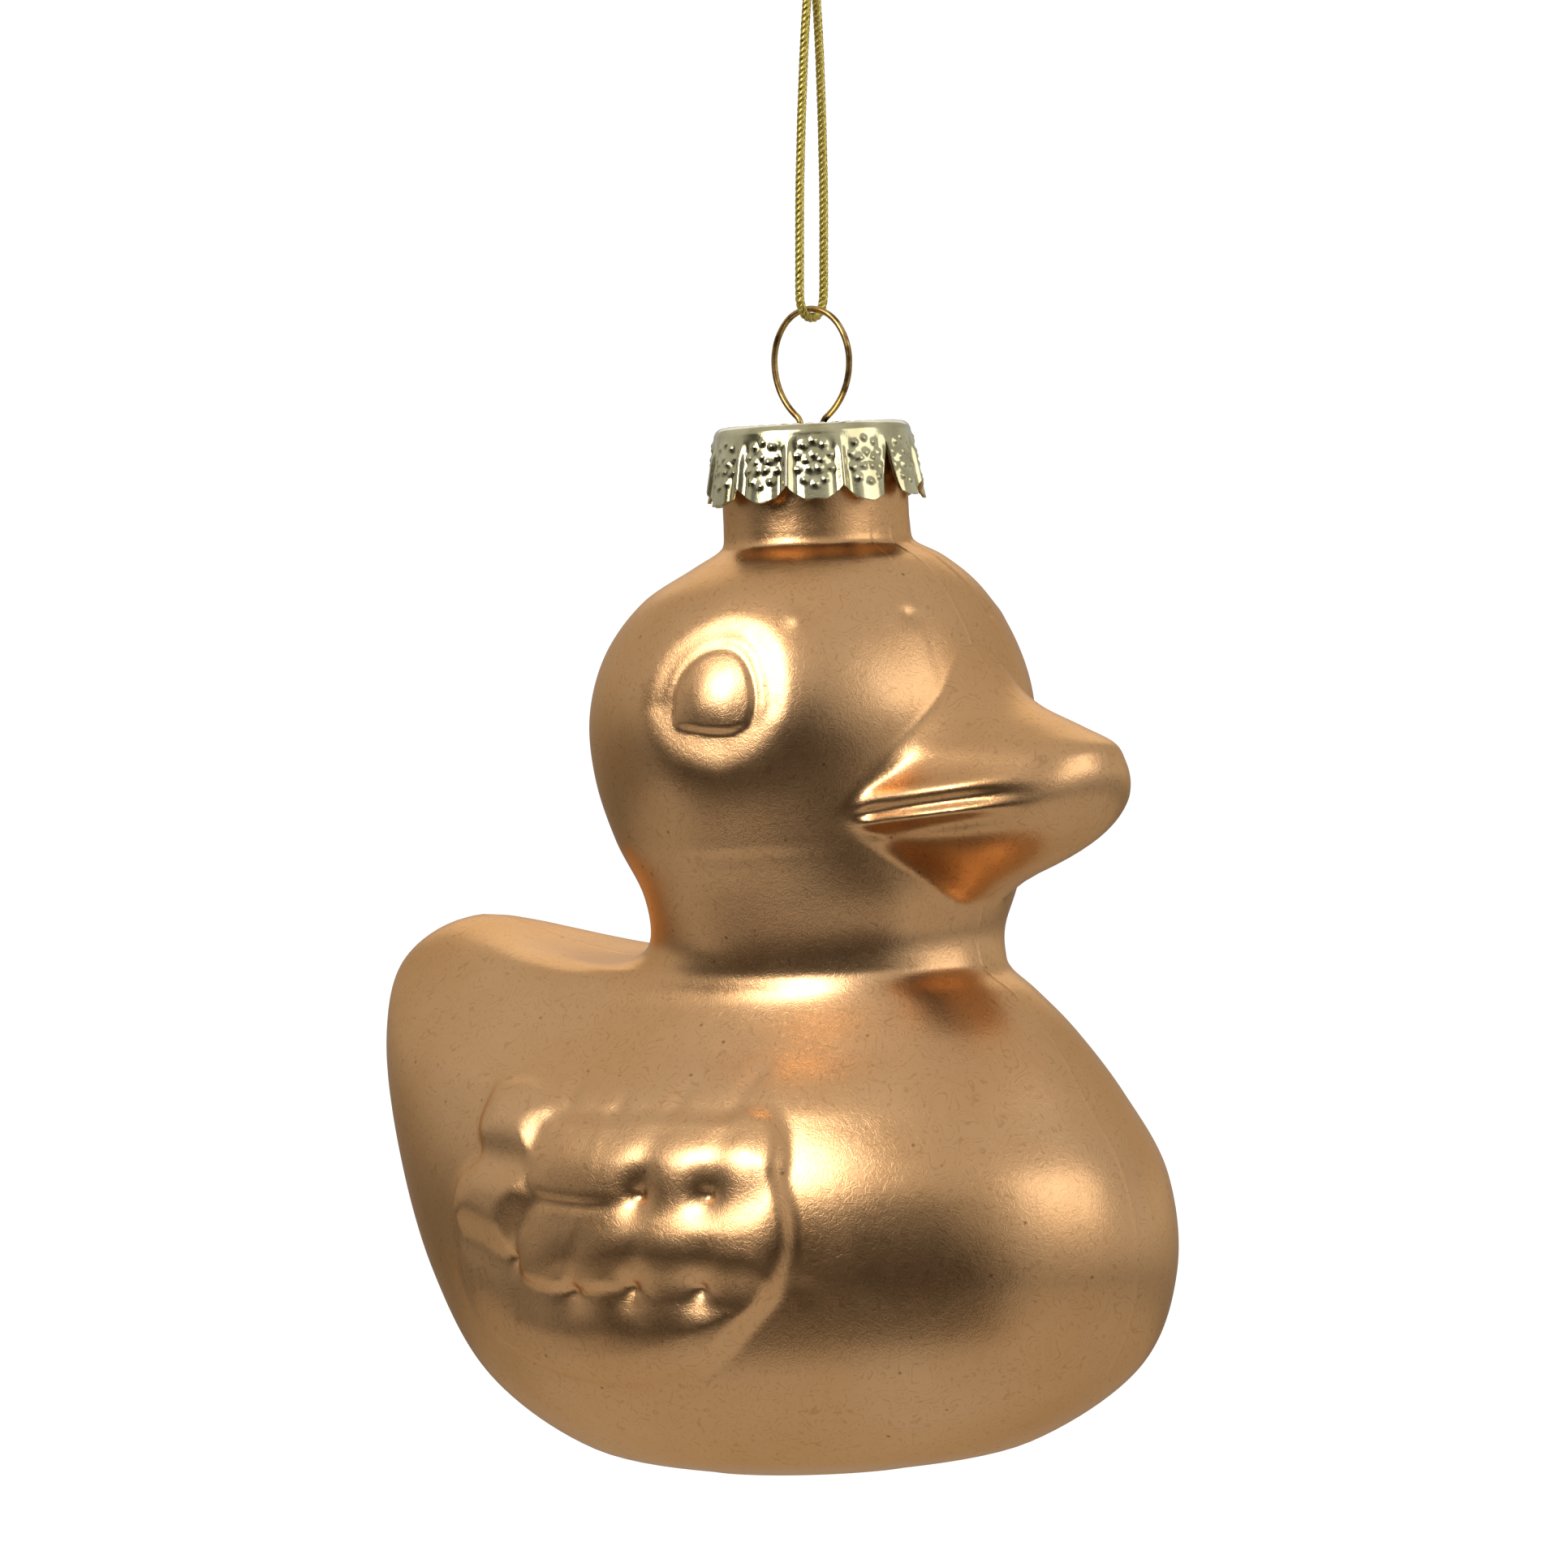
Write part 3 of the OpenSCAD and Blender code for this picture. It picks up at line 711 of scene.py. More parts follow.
@dataclass
class GlassDuck:
    """The blown glass: body, head, beak, eyes, wings and neck pipe in one closed skin."""

    hang: Hang
    glass_h: float = 89.7
    body_h: float = 46.0
    tail_reach: float = 46.9
    breast_reach: float = 30.2
    body_w: float = 50.6
    head_h: float = 33.6
    head_back: float = 20.8
    head_front: float = 17.6
    head_w: float = 37.6
    glass_wall: float = GLASS_WALL
    neck_r: float = NECK_R
    beak_reach: float = 29.8
    beak_w: float = 24.0
    beak_h: float = 21.0
    mouth_rise: float = 10.6
    mouth_depth: float = 0.6
    mouth_slope: float = 0.1
    mouth_root: float = 13.0
    eye_relief: float = 0.8
    eye_at: Place = (2.1, 66.7)
    eye_half: Place = (4.3, 4.7)
    eye_lid: float = 64.4
    rim_relief: float = 0.1
    rim_groove: float = 0.06
    socket_relief: float = 0.64
    wing_base: float = 0.62
    wing_top: float = 35.5
    crease_depth: float = 0.12
    mould_line: float = 0.05
    seam: float = 0.045
    seam_w: float = 0.22
    neck_lip: float = 0.45
    tail_curve: float = 2.2
    cap_sheet: float = CAP_SHEET
    columns: int = 352
    inner_share: int = 4
    inner_rows: int = 52
    end_gap: float = 1.3
    finish: Finish = field(default_factory=lambda: SatinLacquer("satin_lacquer_on_glass"))

    @property
    def neck_foot(self) -> float:
        """Height at which the neck pipe stands on the head."""
        return self.body_h + self.head_h

    @property
    def mouth_z(self) -> float:
        """Height of the line of the mouth."""
        return self.body_h + self.mouth_rise

    @property
    def last_place(self) -> int:
        """Place of the topmost section."""
        return len(BODY_SHARES) + len(HEAD_SHARES) + len(SHOULDER_SHARES) - 1

    def sections(self) -> Array:
        """Rows of back reach and height, front reach and height, half width and middle."""
        body = np.array(BODY_SHARES) * [-self.tail_reach, self.body_h, self.breast_reach,
                                        self.body_h, self.body_w / 2, -self.tail_reach]
        head = np.array(HEAD_SHARES) * [-self.head_back, self.head_h, self.head_front,
                                        self.head_h, self.head_w / 2, -self.head_back]
        head[:, [1, 3]] += self.body_h
        neck = np.array([[-r, h, r, h, r, 0] for r, h in SHOULDER_SHARES]) * self.neck_r
        neck[:, [1, 3]] += self.neck_foot
        return np.vstack([body, head, neck])

    def plain(self, v: Array, a: Array) -> Array:
        """The plain skin at section places v and column angles a, in degrees.

        Each section is an ellipse with its own reach to the front and the back. Its height
        climbs from the front to the back by a power of how far back a point lies, and the
        power grows towards the top of the back, which rounds its sides.
        """
        s = along(self.sections(), np.broadcast_to(v, np.broadcast(v, a).shape))
        rear, rear_z, front, front_z, half, middle = np.moveaxis(s, -1, 0)
        turn = np.radians(a)
        reach = np.where(np.cos(turn) > 0, front - middle, middle - rear)
        x = middle + reach * np.cos(turn)
        last = len(BODY_SHARES) - 3
        power = self.tail_curve * (1 + 0.9 * np.clip(1 - np.abs(v - last) / 2, 0, 1))
        climb = np.clip((front - x) / (front - rear), 0, None) ** power
        return np.stack([x, half * np.sin(turn), front_z + (rear_z - front_z) * climb], -1)

    def normal(self, v: Array, a: Array, step: float) -> Array:
        """Way out of the plain skin: the cross product of its steps round and up."""
        top = self.plain(np.minimum(v + step, self.last_place), a)
        return unit(np.cross(self.plain(v, a + 1) - self.plain(v, a - 1),
                             top - self.plain(np.maximum(v - step, 0), a)))

    def beak_radius(self, z: Array, cos: Array, sin: Array, middle: Array) -> Array:
        """How far a ray from the middle of a section runs to the beak's outline.

        At each height the outline is half an ellipse in front of the root, and runs
        straight back from there. The distance solves the ray's quadratic with the ellipse,
        or is the half width over the ray's sine behind the root. It is 0 above and below
        the beak.
        """
        share = (z - self.mouth_z) / self.beak_h
        table = np.array(BEAK_SHARES)
        fine = along(table, np.linspace(0, len(table) - 1, 400))
        reach = np.interp(share, fine[:, 0], fine[:, 1]) * self.beak_reach
        half = np.interp(share, fine[:, 0], fine[:, 2]) * self.beak_w / 2
        root = np.minimum(self.beak_reach / 2, reach - self.beak_w / 80)
        depth, ahead = reach - root, root - middle
        p = (cos / depth) ** 2 + (sin / half) ** 2
        q = cos * ahead / depth ** 2
        r = (ahead / depth) ** 2 - 1
        far = (q + np.sqrt(np.maximum(q * q - p * r, 0))) / p
        side = half / np.maximum(np.abs(sin), 1e-9)
        far = np.where(half * cos <= ahead * np.abs(sin), side, far)
        seen = (share > table[0, 0]) & (share < table[-1, 0]) & (cos > 0)
        return np.where(seen, far, 0)

    def lips(self, x: Array, z: Array) -> Array:
        """Mouth line with a lip above and below it, fading towards the tip of the beak.

        The line climbs a tenth of the way forward. The lips, the grooves beyond them and
        the line itself are bells about it.
        """
        t = z - self.mouth_z - self.mouth_slope * (x - self.mouth_root)
        fade = smooth((self.beak_reach - 2.0 - x) / 7.0)
        line = (-self.mouth_depth, 0.15, 0.5)
        return fade * sum(high * bell((t - at) / wide) for high, at, wide in (*LIPS, line))

    def eye(self, x: Array, z: Array) -> Array:
        """Domed eye with a flat lower lid, a thin rim round it and a broad soft socket.

        The dome is a cap of an ellipsoid, cut off steeply along the eye's edge. The rim and
        the groove outside it are bells about the distance to that edge, strongest in front
        and gone at the lid, and the socket is one about a ring of its own.
        """
        rim = np.vstack([line_through(EYE_RIM[:10], 5), line_through(EYE_RIM[9:], 4)[1:]])
        edge = depth_inside(x, z, rim)
        ring = depth_inside(x, z, loop_through(SOCKET_RING))
        (cx, cz), (rx, rz) = self.eye_at, self.eye_half
        dome = 1 - ((x - cx) / rx) ** 2 - ((z - cz) / rz) ** 2
        front = smooth((x - 0.2) / 3.5) + 0.4 * smooth((z - 66) / 3) * smooth((3 - x) / 3)
        above = smooth((z - self.eye_lid) / 2)
        form = self.eye_relief * np.maximum(dome, 0) * smooth(edge / 0.55 + 0.1)
        form += (self.rim_relief * bell((edge + 0.5) / 0.45)
                 * np.minimum(0.1 + front, 1) * above)
        form -= self.rim_groove * bell((edge + 1.4) / 0.7) * np.minimum(front, 1) * above
        return form + self.socket_relief * np.where(ring > 0, bell(ring / 2.5),
                                                    bell(ring / 4.5))

    def wing(self, x: Array, z: Array) -> Array:
        """Tufted wing: lobes and rows of feathers swell softly from a raised base.

        The base and the pads rise as soft steps over their depth inside their outlines, and
        all of them sink towards the wing's top edge. The rows end steeply at the back. Each
        tufting pit is a narrow bell in a wide one; valleys and creases are bells about
        their lines.
        """
        rim = depth_inside(x, z, loop_through(WING_RIM))
        ahead = smooth((x + 24.0) / 26.0)
        behind = smooth((-3.0 - x) / 6.0)
        top = 0.5 - 0.3 * ahead
        foot = smooth((rim + 0.5) / 1.7) * (
            top + (1 - top) * smooth((self.wing_top - ahead - z) / (6.0 + ahead)))
        form = self.wing_base * (0.5 + 0.5 * ahead)
        for name, corners in PADS.items():
            high, wide, sunk, shingle = PAD_EDGES[name]
            outline = loop_through(corners)
            depth = depth_inside(x, z, outline)
            pad = pillow(depth, wide, sunk)
            if "row" in name:
                pad = pad + (0.6 * behind) * (smooth(depth / 1.2 + 0.3) - pad)
            tilt = shingle * (outline[:, 1].mean() - z) / np.ptp(outline[:, 1]) * 2
            form = form + high * pad * (1 + tilt)
        form = form * foot
        inside = smooth(rim / 1.2 + 0.6)
        for (cx, cz), deep, wide in PITS:
            r = np.hypot(x - cx, z - cz)
            form -= deep * inside * (bell(r / wide) + 0.7 * bell(r / (3.4 * wide)))
        for line, deep in VALLEYS:
            low = np.hypot(x - line[0][0], z - line[0][1])
            form -= deep * bell(gap_to(x, z, line_through(line, 4)) / 1.5) * bell(low / 5.0)
        for line in CREASES:
            form -= self.crease_depth * bell(gap_to(x, z, np.array(line)) / 0.8)
        ridge = bell(gap_to(x, z, line_through(MOULD_LINE, 4)) / 0.25)
        return form + self.mould_line * ridge

    def dents(self, points: Array) -> Array:
        """Small dents and bumps that the mould leaves, as bells about their places."""
        places = points.copy()
        places[..., 1] = np.abs(points[..., 1])
        return -sum(deep * bell(np.linalg.norm(places - np.array(spot), axis=-1) / wide)
                    for spot, deep, wide in DENTS)

    def skin(self, v: Array, a: Array) -> Array:
        """The moulded skin: the plain one with beak, lips, eyes, wings, dents and the seam.

        The beak is blended in along the rays from each section's middle, and the rest is
        moved along the plain skin's own normal.
        """
        p = self.plain(v, a)
        middle = along(self.sections(), v)[..., 5] + 0 * a
        flat_x, flat_y = p[..., 0] - middle, p[..., 1]
        far = np.hypot(flat_x, flat_y)
        cos, sin = flat_x / far, flat_y / far
        beak = self.beak_radius(p[..., 2], cos, sin, middle)
        soft = self.beak_w / 12 * (1 + smooth((np.abs(p[..., 2] - self.mouth_z) - 2.5) / 4))
        r = np.where(beak > 0, soft_max(far, beak, soft), far)
        pipe = soft_max(r, np.full_like(r, self.neck_r), 0.3)
        r = np.where(v > self.last_place - 1.6, pipe, r)
        x, z = middle + r * cos, p[..., 2]
        q = np.stack([x, r * sin, z], -1)
        lip = np.where(beak > 0, self.lips(x, z), 0) * smooth((beak - far + 0.8) / 2.0)
        side = np.abs(np.sin(np.radians(a))) > 0.3
        eye = np.where(z > self.body_h + 8, local(self.eye, x, z, *EYE_BOX), 0)
        form = np.where(side, eye + local(self.wing, x, z, *WING_BOX), 0) + self.dents(q)
        form = form + (self.seam * bell(q[..., 1] / self.seam_w)
                       * smooth((z - 4.0) / 3.0))
        q += self.normal(v, a, 0.01) * form[..., None]
        q[..., 0] += lip * cos
        q[..., 1] += lip * sin
        return q

    def hollow_beak(self, inner: Array, v: Array) -> Array:
        """Moves the inner skin out into the beak, a little more than a wall inside it."""
        wall = self.glass_wall * 1.3
        middle = along(self.sections(), v)[..., 5] + 0 * inner[..., 0]
        x, y, z = inner[..., 0] - middle, inner[..., 1], inner[..., 2]
        far = np.hypot(x, y)
        beak = np.minimum.reduce([self.beak_radius(z + up, x / far, y / far, middle)
                                  for up in (-wall, 0.0, wall)])
        r = np.where(beak > 0, soft_max(far, beak - wall, self.beak_w / 20), far)
        return np.stack([middle + x / far * r, y / far * r, z], -1)

    def row_places(self) -> Array:
        """Places of the rows, as close as ROW_GAPS (side) and end_gap (ends) ask."""
        v = np.linspace(0, self.last_place, 4001)
        lines = [self.plain(v, np.full_like(v, a)) for a in (90.0, 180.0, 0.0)]
        gap = np.interp(lines[0][:, 2], *np.transpose(ROW_GAPS))
        steps = [np.linalg.norm(np.diff(p, axis=0), axis=1) for p in lines]
        need = np.maximum.reduce([steps[0] / gap[:-1], steps[1] / self.end_gap,
                                  steps[2] / self.end_gap])
        count = np.concatenate([[0], np.cumsum(need)])
        return np.interp(np.linspace(0, count[-1], int(count[-1]) + 1), count, v)

    def column_angles(self) -> Array:
        """Angles of the columns, the same on both sides of the seam."""
        half = spread(COLUMN_GAPS, self.columns // 2)
        return np.concatenate([half, 360 - half[-2:0:-1]])

    def outer_skin(self, angles: Array) -> Array:
        """Rings of the moulded skin and the neck pipe, up to the pipe's rounded lip."""
        skin = self.skin(self.row_places()[:, None], angles[None, :])
        lip, top = self.neck_lip, self.glass_h
        rows = [(self.neck_r, h) for h in np.linspace(skin[-1, 0, 2] + 0.5, top - lip, 7)]
        rows += [(self.neck_r - lip * (1 - math.cos(t)), top - lip * (1 - math.sin(t)))
                 for t in np.radians([30, 60, 90])]
        return np.vstack([skin, level_rings(rows, np.radians(angles))])

    def inner_skin(self, angles: Array) -> Array:
        """Rings from the pipe's bore down, a wall inside the plain skin and the beak."""
        v = np.linspace(self.last_place - 1, 0, self.inner_rows)[:, None]
        a = angles[None, :]
        inner = self.plain(v, a) - self.glass_wall * self.normal(v, a, 0.02)
        bore = self.neck_r - self.glass_wall
        rows = [(bore, h) for h in (self.glass_h - 0.2, self.glass_h - 3,
                                    self.neck_foot + 1)]
        return np.vstack([level_rings(rows, np.radians(angles)),
                          self.hollow_beak(inner, v)])

    def build(self) -> Piece:
        """Outer and inner skin, joined at the lip of the neck and closed at the foot."""
        angles = self.column_angles()
        outer = self.outer_skin(angles)
        inner = self.inner_skin(angles[::self.inner_share])
        foot = BODY_SHARES[0][-1] * -self.tail_reach
        ends = [[foot, 0, 0], [foot, 0, inner[-1, :, 2].min()]]
        points = np.vstack([outer.reshape(-1, 3), inner.reshape(-1, 3), ends])
        n_out, n_in = outer.shape[1], inner.shape[1]
        base = outer.shape[0] * n_out
        last = base + inner.shape[0] * n_in
        faces = [ring_quads(outer.shape[0], n_out),
                 ring_quads(inner.shape[0], n_in, base),
                 ring_join(base - n_out, n_out, base, n_in),
                 fan(last, 0, n_out)[:, ::-1],
                 fan(last + 1, last - n_in, n_in)]
        points[:, 2] -= self.glass_h + self.cap_sheet
        piece = make_mesh("glass_duck_skin", self.hang.place(points), faces)
        return dress(piece, self.finish, "lacquered_glass", Body.GLASS, "glass_body")


# Rings of beads on a petal: count, half width and half height of the ring, bead's size
BEAD_RINGS = ((10, 1.45, 1.85, 0.26), (5, 0.62, 0.62, 0.3))
# Rows over the crown, the corner and the skirt, on the outer and on the inner face
CAP_ROWS = ((26, 9, 62), (8, 6, 20))


@dataclass
class StampedCap:
    """The metal cap: a holed crown and a skirt of pressed petals with a beaded pattern."""

    hang: Hang
    neck_r: float = NECK_R
    gap: float = 0.2
    sheet: float = CAP_SHEET
    height: float = 6.6
    hole_r: float = 2.0
    corner: float = 0.9
    flare: float = 1.1
    petals: int = 12
    turn: float = 8.0
    scallop: float = 1.3
    pleat: float = 0.28
    groove: float = 0.16
    bead: float = 0.16
    bead_drop: float = 2.5
    knurl: float = 0.1
    knurls: int = 40
    crown_end: float = 0.28
    bend_end: float = 0.36
    notch_slope: float = 4.6
    columns: int = 624
    finish: Finish = field(
        default_factory=lambda: BrightSheet("pale_gold_stamped_tinplate"))

    def phase(self, angle: Array) -> tuple[Array, Array]:
        """Place across a petal from -0.5 to 0.5, and the petal's number."""
        at = (np.degrees(angle) - self.turn) / (360 / self.petals)
        number = np.floor(at + 0.5)
        return at - number, number % self.petals

    def beads(self, across: Array, down: Array) -> Array:
        """Pressed beads: a wreath of half balls round a five-leaved flower."""
        form = np.zeros(np.broadcast(across, down).shape)
        for count, wide, high, size in BEAD_RINGS:
            for t in turns(count):
                far = np.hypot(across - wide * math.sin(t),
                               down - self.bead_drop + high * math.cos(t))
                form = np.maximum(form, self.bead * bell(far / size))
        return form

    def lower_edge(self, angle: Array, wall: float) -> Array:
        """Height of the skirt's edge: scallops, slight waves and a notch at one fold."""
        phi, number = self.phase(angle)
        edge = (-self.height + 0.18 * np.sin(3.7 * number + 1)
                + self.scallop * np.abs(2 * phi) ** 2.4
                + 0.07 * np.sin(19 * angle) + 0.05 * np.sin(41 * angle + 1))
        split = self.turn + 360 / self.petals * (-0.5)
        gap = np.abs((np.degrees(angle) - split + 180) % 360 - 180) * np.pi / 180 * wall
        return np.maximum(edge, -1.5 - gap * self.notch_slope)

    def outside(self, angle: Array, run: Array) -> Array:
        """The outer face at each angle, for places run from 0 at the hole to 1 at the edge.

        The half section runs level over the crown, a quarter circle over the corner and
        straight down the skirt. Each petal bends out or in and folds up at its sides.
        """
        phi, number = self.phase(angle)
        wall = self.neck_r + self.gap + self.sheet
        flat = wall - self.corner
        s0 = np.clip(run / self.crown_end, 0, 1)
        s1 = np.clip((run - self.crown_end) / (self.bend_end - self.crown_end), 0, 1)
        s2 = np.clip((run - self.bend_end) / (1 - self.bend_end), 0, 1)
        drop = s2 * (-self.lower_edge(angle, wall) - self.corner)
        out = self.flare * drop / (self.height - self.corner)
        bend = s1 * np.pi / 2
        r = self.hole_r + s0 * (flat - self.hole_r) + self.corner * np.sin(bend) + out
        z = -self.corner * (1 - np.cos(bend)) - drop
        lift = 0.22 * np.sin(2.4 * number + 0.6) + 0.12 * np.sin(5.1 * number)
        width = 2 * np.pi * wall / self.petals
        fold = (0.5 - np.abs(phi)) * width
        skirt = smooth(drop / 2.2) * (
            self.pleat * bell(fold / 0.32) - self.groove * bell((fold - 0.75) / 0.4)
            + lift * smooth(drop / 5.0) * np.cos(np.pi * phi) ** 2)
        beads = self.beads(phi * width, drop + 0.1) * (s2 > 0) * smooth((fold - 0.35) / 0.3)
        knurl = (self.knurl * bell((r - (flat - 0.55)) / 0.3)
                 * (0.5 + 0.5 * np.cos(angle * self.knurls)))
        r = r + skirt + beads
        return np.stack([r * np.cos(angle), r * np.sin(angle), z + knurl * (s2 == 0)], -1)

    def inside(self, angle: Array, run: Array) -> Array:
        """The inner face: the outer one moved in by the sheet, down on the crown."""
        p = self.outside(angle, run)
        r = np.hypot(p[..., 0], p[..., 1])[..., None]
        side = smooth((run - 0.29) / 0.06)
        level = p[..., :2] / r * (r - (self.sheet * side)[..., None])
        return np.dstack([level, p[..., 2] - self.sheet * (1 - side)])

    def build(self) -> Piece:
        """Outer and inner faces joined at the edge of the skirt and round the hole."""
        angle = turns(self.columns)[None, :]
        stops = (0, self.crown_end, self.bend_end, 1)
        down, back = (np.concatenate([[0]] + [
            np.linspace(a, b, n)[1:] for a, b, n in zip(stops[:-1], stops[1:], counts)]
        )[:, None] for counts in CAP_ROWS)
        points = np.vstack([self.outside(angle, down), self.inside(angle, back[::-1])])
        faces = [ring_quads(len(points), self.columns, closed=True)]
        points = self.hang.place(points.reshape(-1, 3))
        piece = make_mesh("stamped_cap_sheet", points, faces)
        return dress(piece, self.finish, "cap_metal", Body.CAP, "cap")


@dataclass
class WireHanger:
    """Spring wire bent to an eye above the cap and two legs that grip the neck's bore."""

    hang: Hang
    wire_d: float = 0.55
    eye_rise: float = 10.2
    eye_belly: float = 5.4
    ring_w: float = 8.1
    waist_w: float = 2.4
    leg_drop: float = 14.0
    leg_gap: float = 0.2
    top_turn: float = 50.0
    bore_r: float = NECK_R - GLASS_WALL
    sheet: float = CAP_SHEET
    waist_bend: float = 1.8
    arc_steps: int = 18
    step: float = 0.22
    sides: int = 18
    finish: Finish = field(default_factory=lambda: DrawnWire("drawn_brass_wire"))

    def half_path(self) -> Array:
        """Middle of half the wire: touching arcs for the eye and waist, then the leg."""
        turn = math.radians(self.top_turn)
        belly = self.eye_rise - self.wire_d / 2 - self.eye_belly
        step = (belly - self.ring_w / 2) / (1 - math.cos(turn) - math.sin(turn))
        top_r = belly + step * math.cos(turn)
        side_r = self.ring_w / 2 - step * math.sin(turn)
        waist_r = self.wire_d * self.waist_bend
        low_h = self.eye_belly + self.sheet / 2
        low_turn = 2 * math.atan2((self.ring_w - self.waist_w) / 2, low_h)
        low_r = low_h / math.sin(low_turn) - waist_r
        reach = (self.bore_r - self.wire_d / 2 - self.leg_gap
                 - self.leg_drop * math.sin(self.hang.tilt))
        leg_turn = math.atan2(reach - self.waist_w / 2, self.leg_drop)

        def arc(cx: float, cz: float, r: float, start: float, end: float) -> Array:
            """Places a few degrees apart on one arc."""
            steps = max(int(abs(end - start) * self.arc_steps), 4)
            t = np.linspace(start, end, steps)
            return np.stack([cx + r * np.cos(t), cz + r * np.sin(t)], -1)

        quarter = math.pi / 2
        waist = (self.waist_w / 2 + waist_r, -self.sheet / 2)
        parts = [arc(0, self.eye_rise - self.wire_d / 2 - top_r, top_r, quarter,
                     quarter - turn),
                 arc(self.ring_w / 2 - side_r, self.eye_belly, side_r, quarter - turn, 0),
                 arc(self.ring_w / 2 - low_r, self.eye_belly, low_r, 0, -low_turn),
                 arc(*waist, waist_r, math.pi - low_turn, math.pi + leg_turn)]
        start = parts[-1][-1]
        leg_l = (self.leg_drop + start[1]) / math.cos(leg_turn)
        foot = start + leg_l * np.array([math.sin(leg_turn), -math.cos(leg_turn)])
        parts.append(np.linspace(start, foot, 24))
        return np.vstack([parts[0]] + [p[1:] for p in parts[1:]])

    def build(self) -> Piece:
        """One tube along both halves of the wire, with rounded ends."""
        half = self.half_path()
        flat = np.vstack([half[::-1] * [-1, 1], half[1:]])
        path = resample(np.stack([flat[:, 0], 0 * flat[:, 0], flat[:, 1]], -1), self.step)
        across, square = frames_along(path)
        radius = np.full(len(path), self.wire_d / 2)
        radius[[0, -1]] *= 0.7
        rings = carry(path, across, square, radius, self.sides)
        points = np.vstack([rings.reshape(-1, 3), path[:1], path[-1:]])
        points[:, 2] += self.hang.crown
        piece = make_mesh("wire_eye_and_legs", points * MM,
                          tube_faces(len(path), self.sides, 0))
        return dress(piece, self.finish, "wire_metal", Body.HANGER, "wire_hanger")


# Half of the cord's route as (sideways, up) in millimetres, as the solid model has it
HALF_ROUTE = (
    (0.5, -1.2), (0.7, -3), (0.95, -5.5), (1.15, -8), (1.3, -10.5), (1.45, -13),
    (1.55, -15.5), (1.65, -18), (1.7, -20.5), (1.7, -23), (1.7, -25.5), (1.7, -27.5),
    (1.65, -28.5), (1.45, -29.1), (1, -29.7), (0.5, -29.93), (0, -30),
)


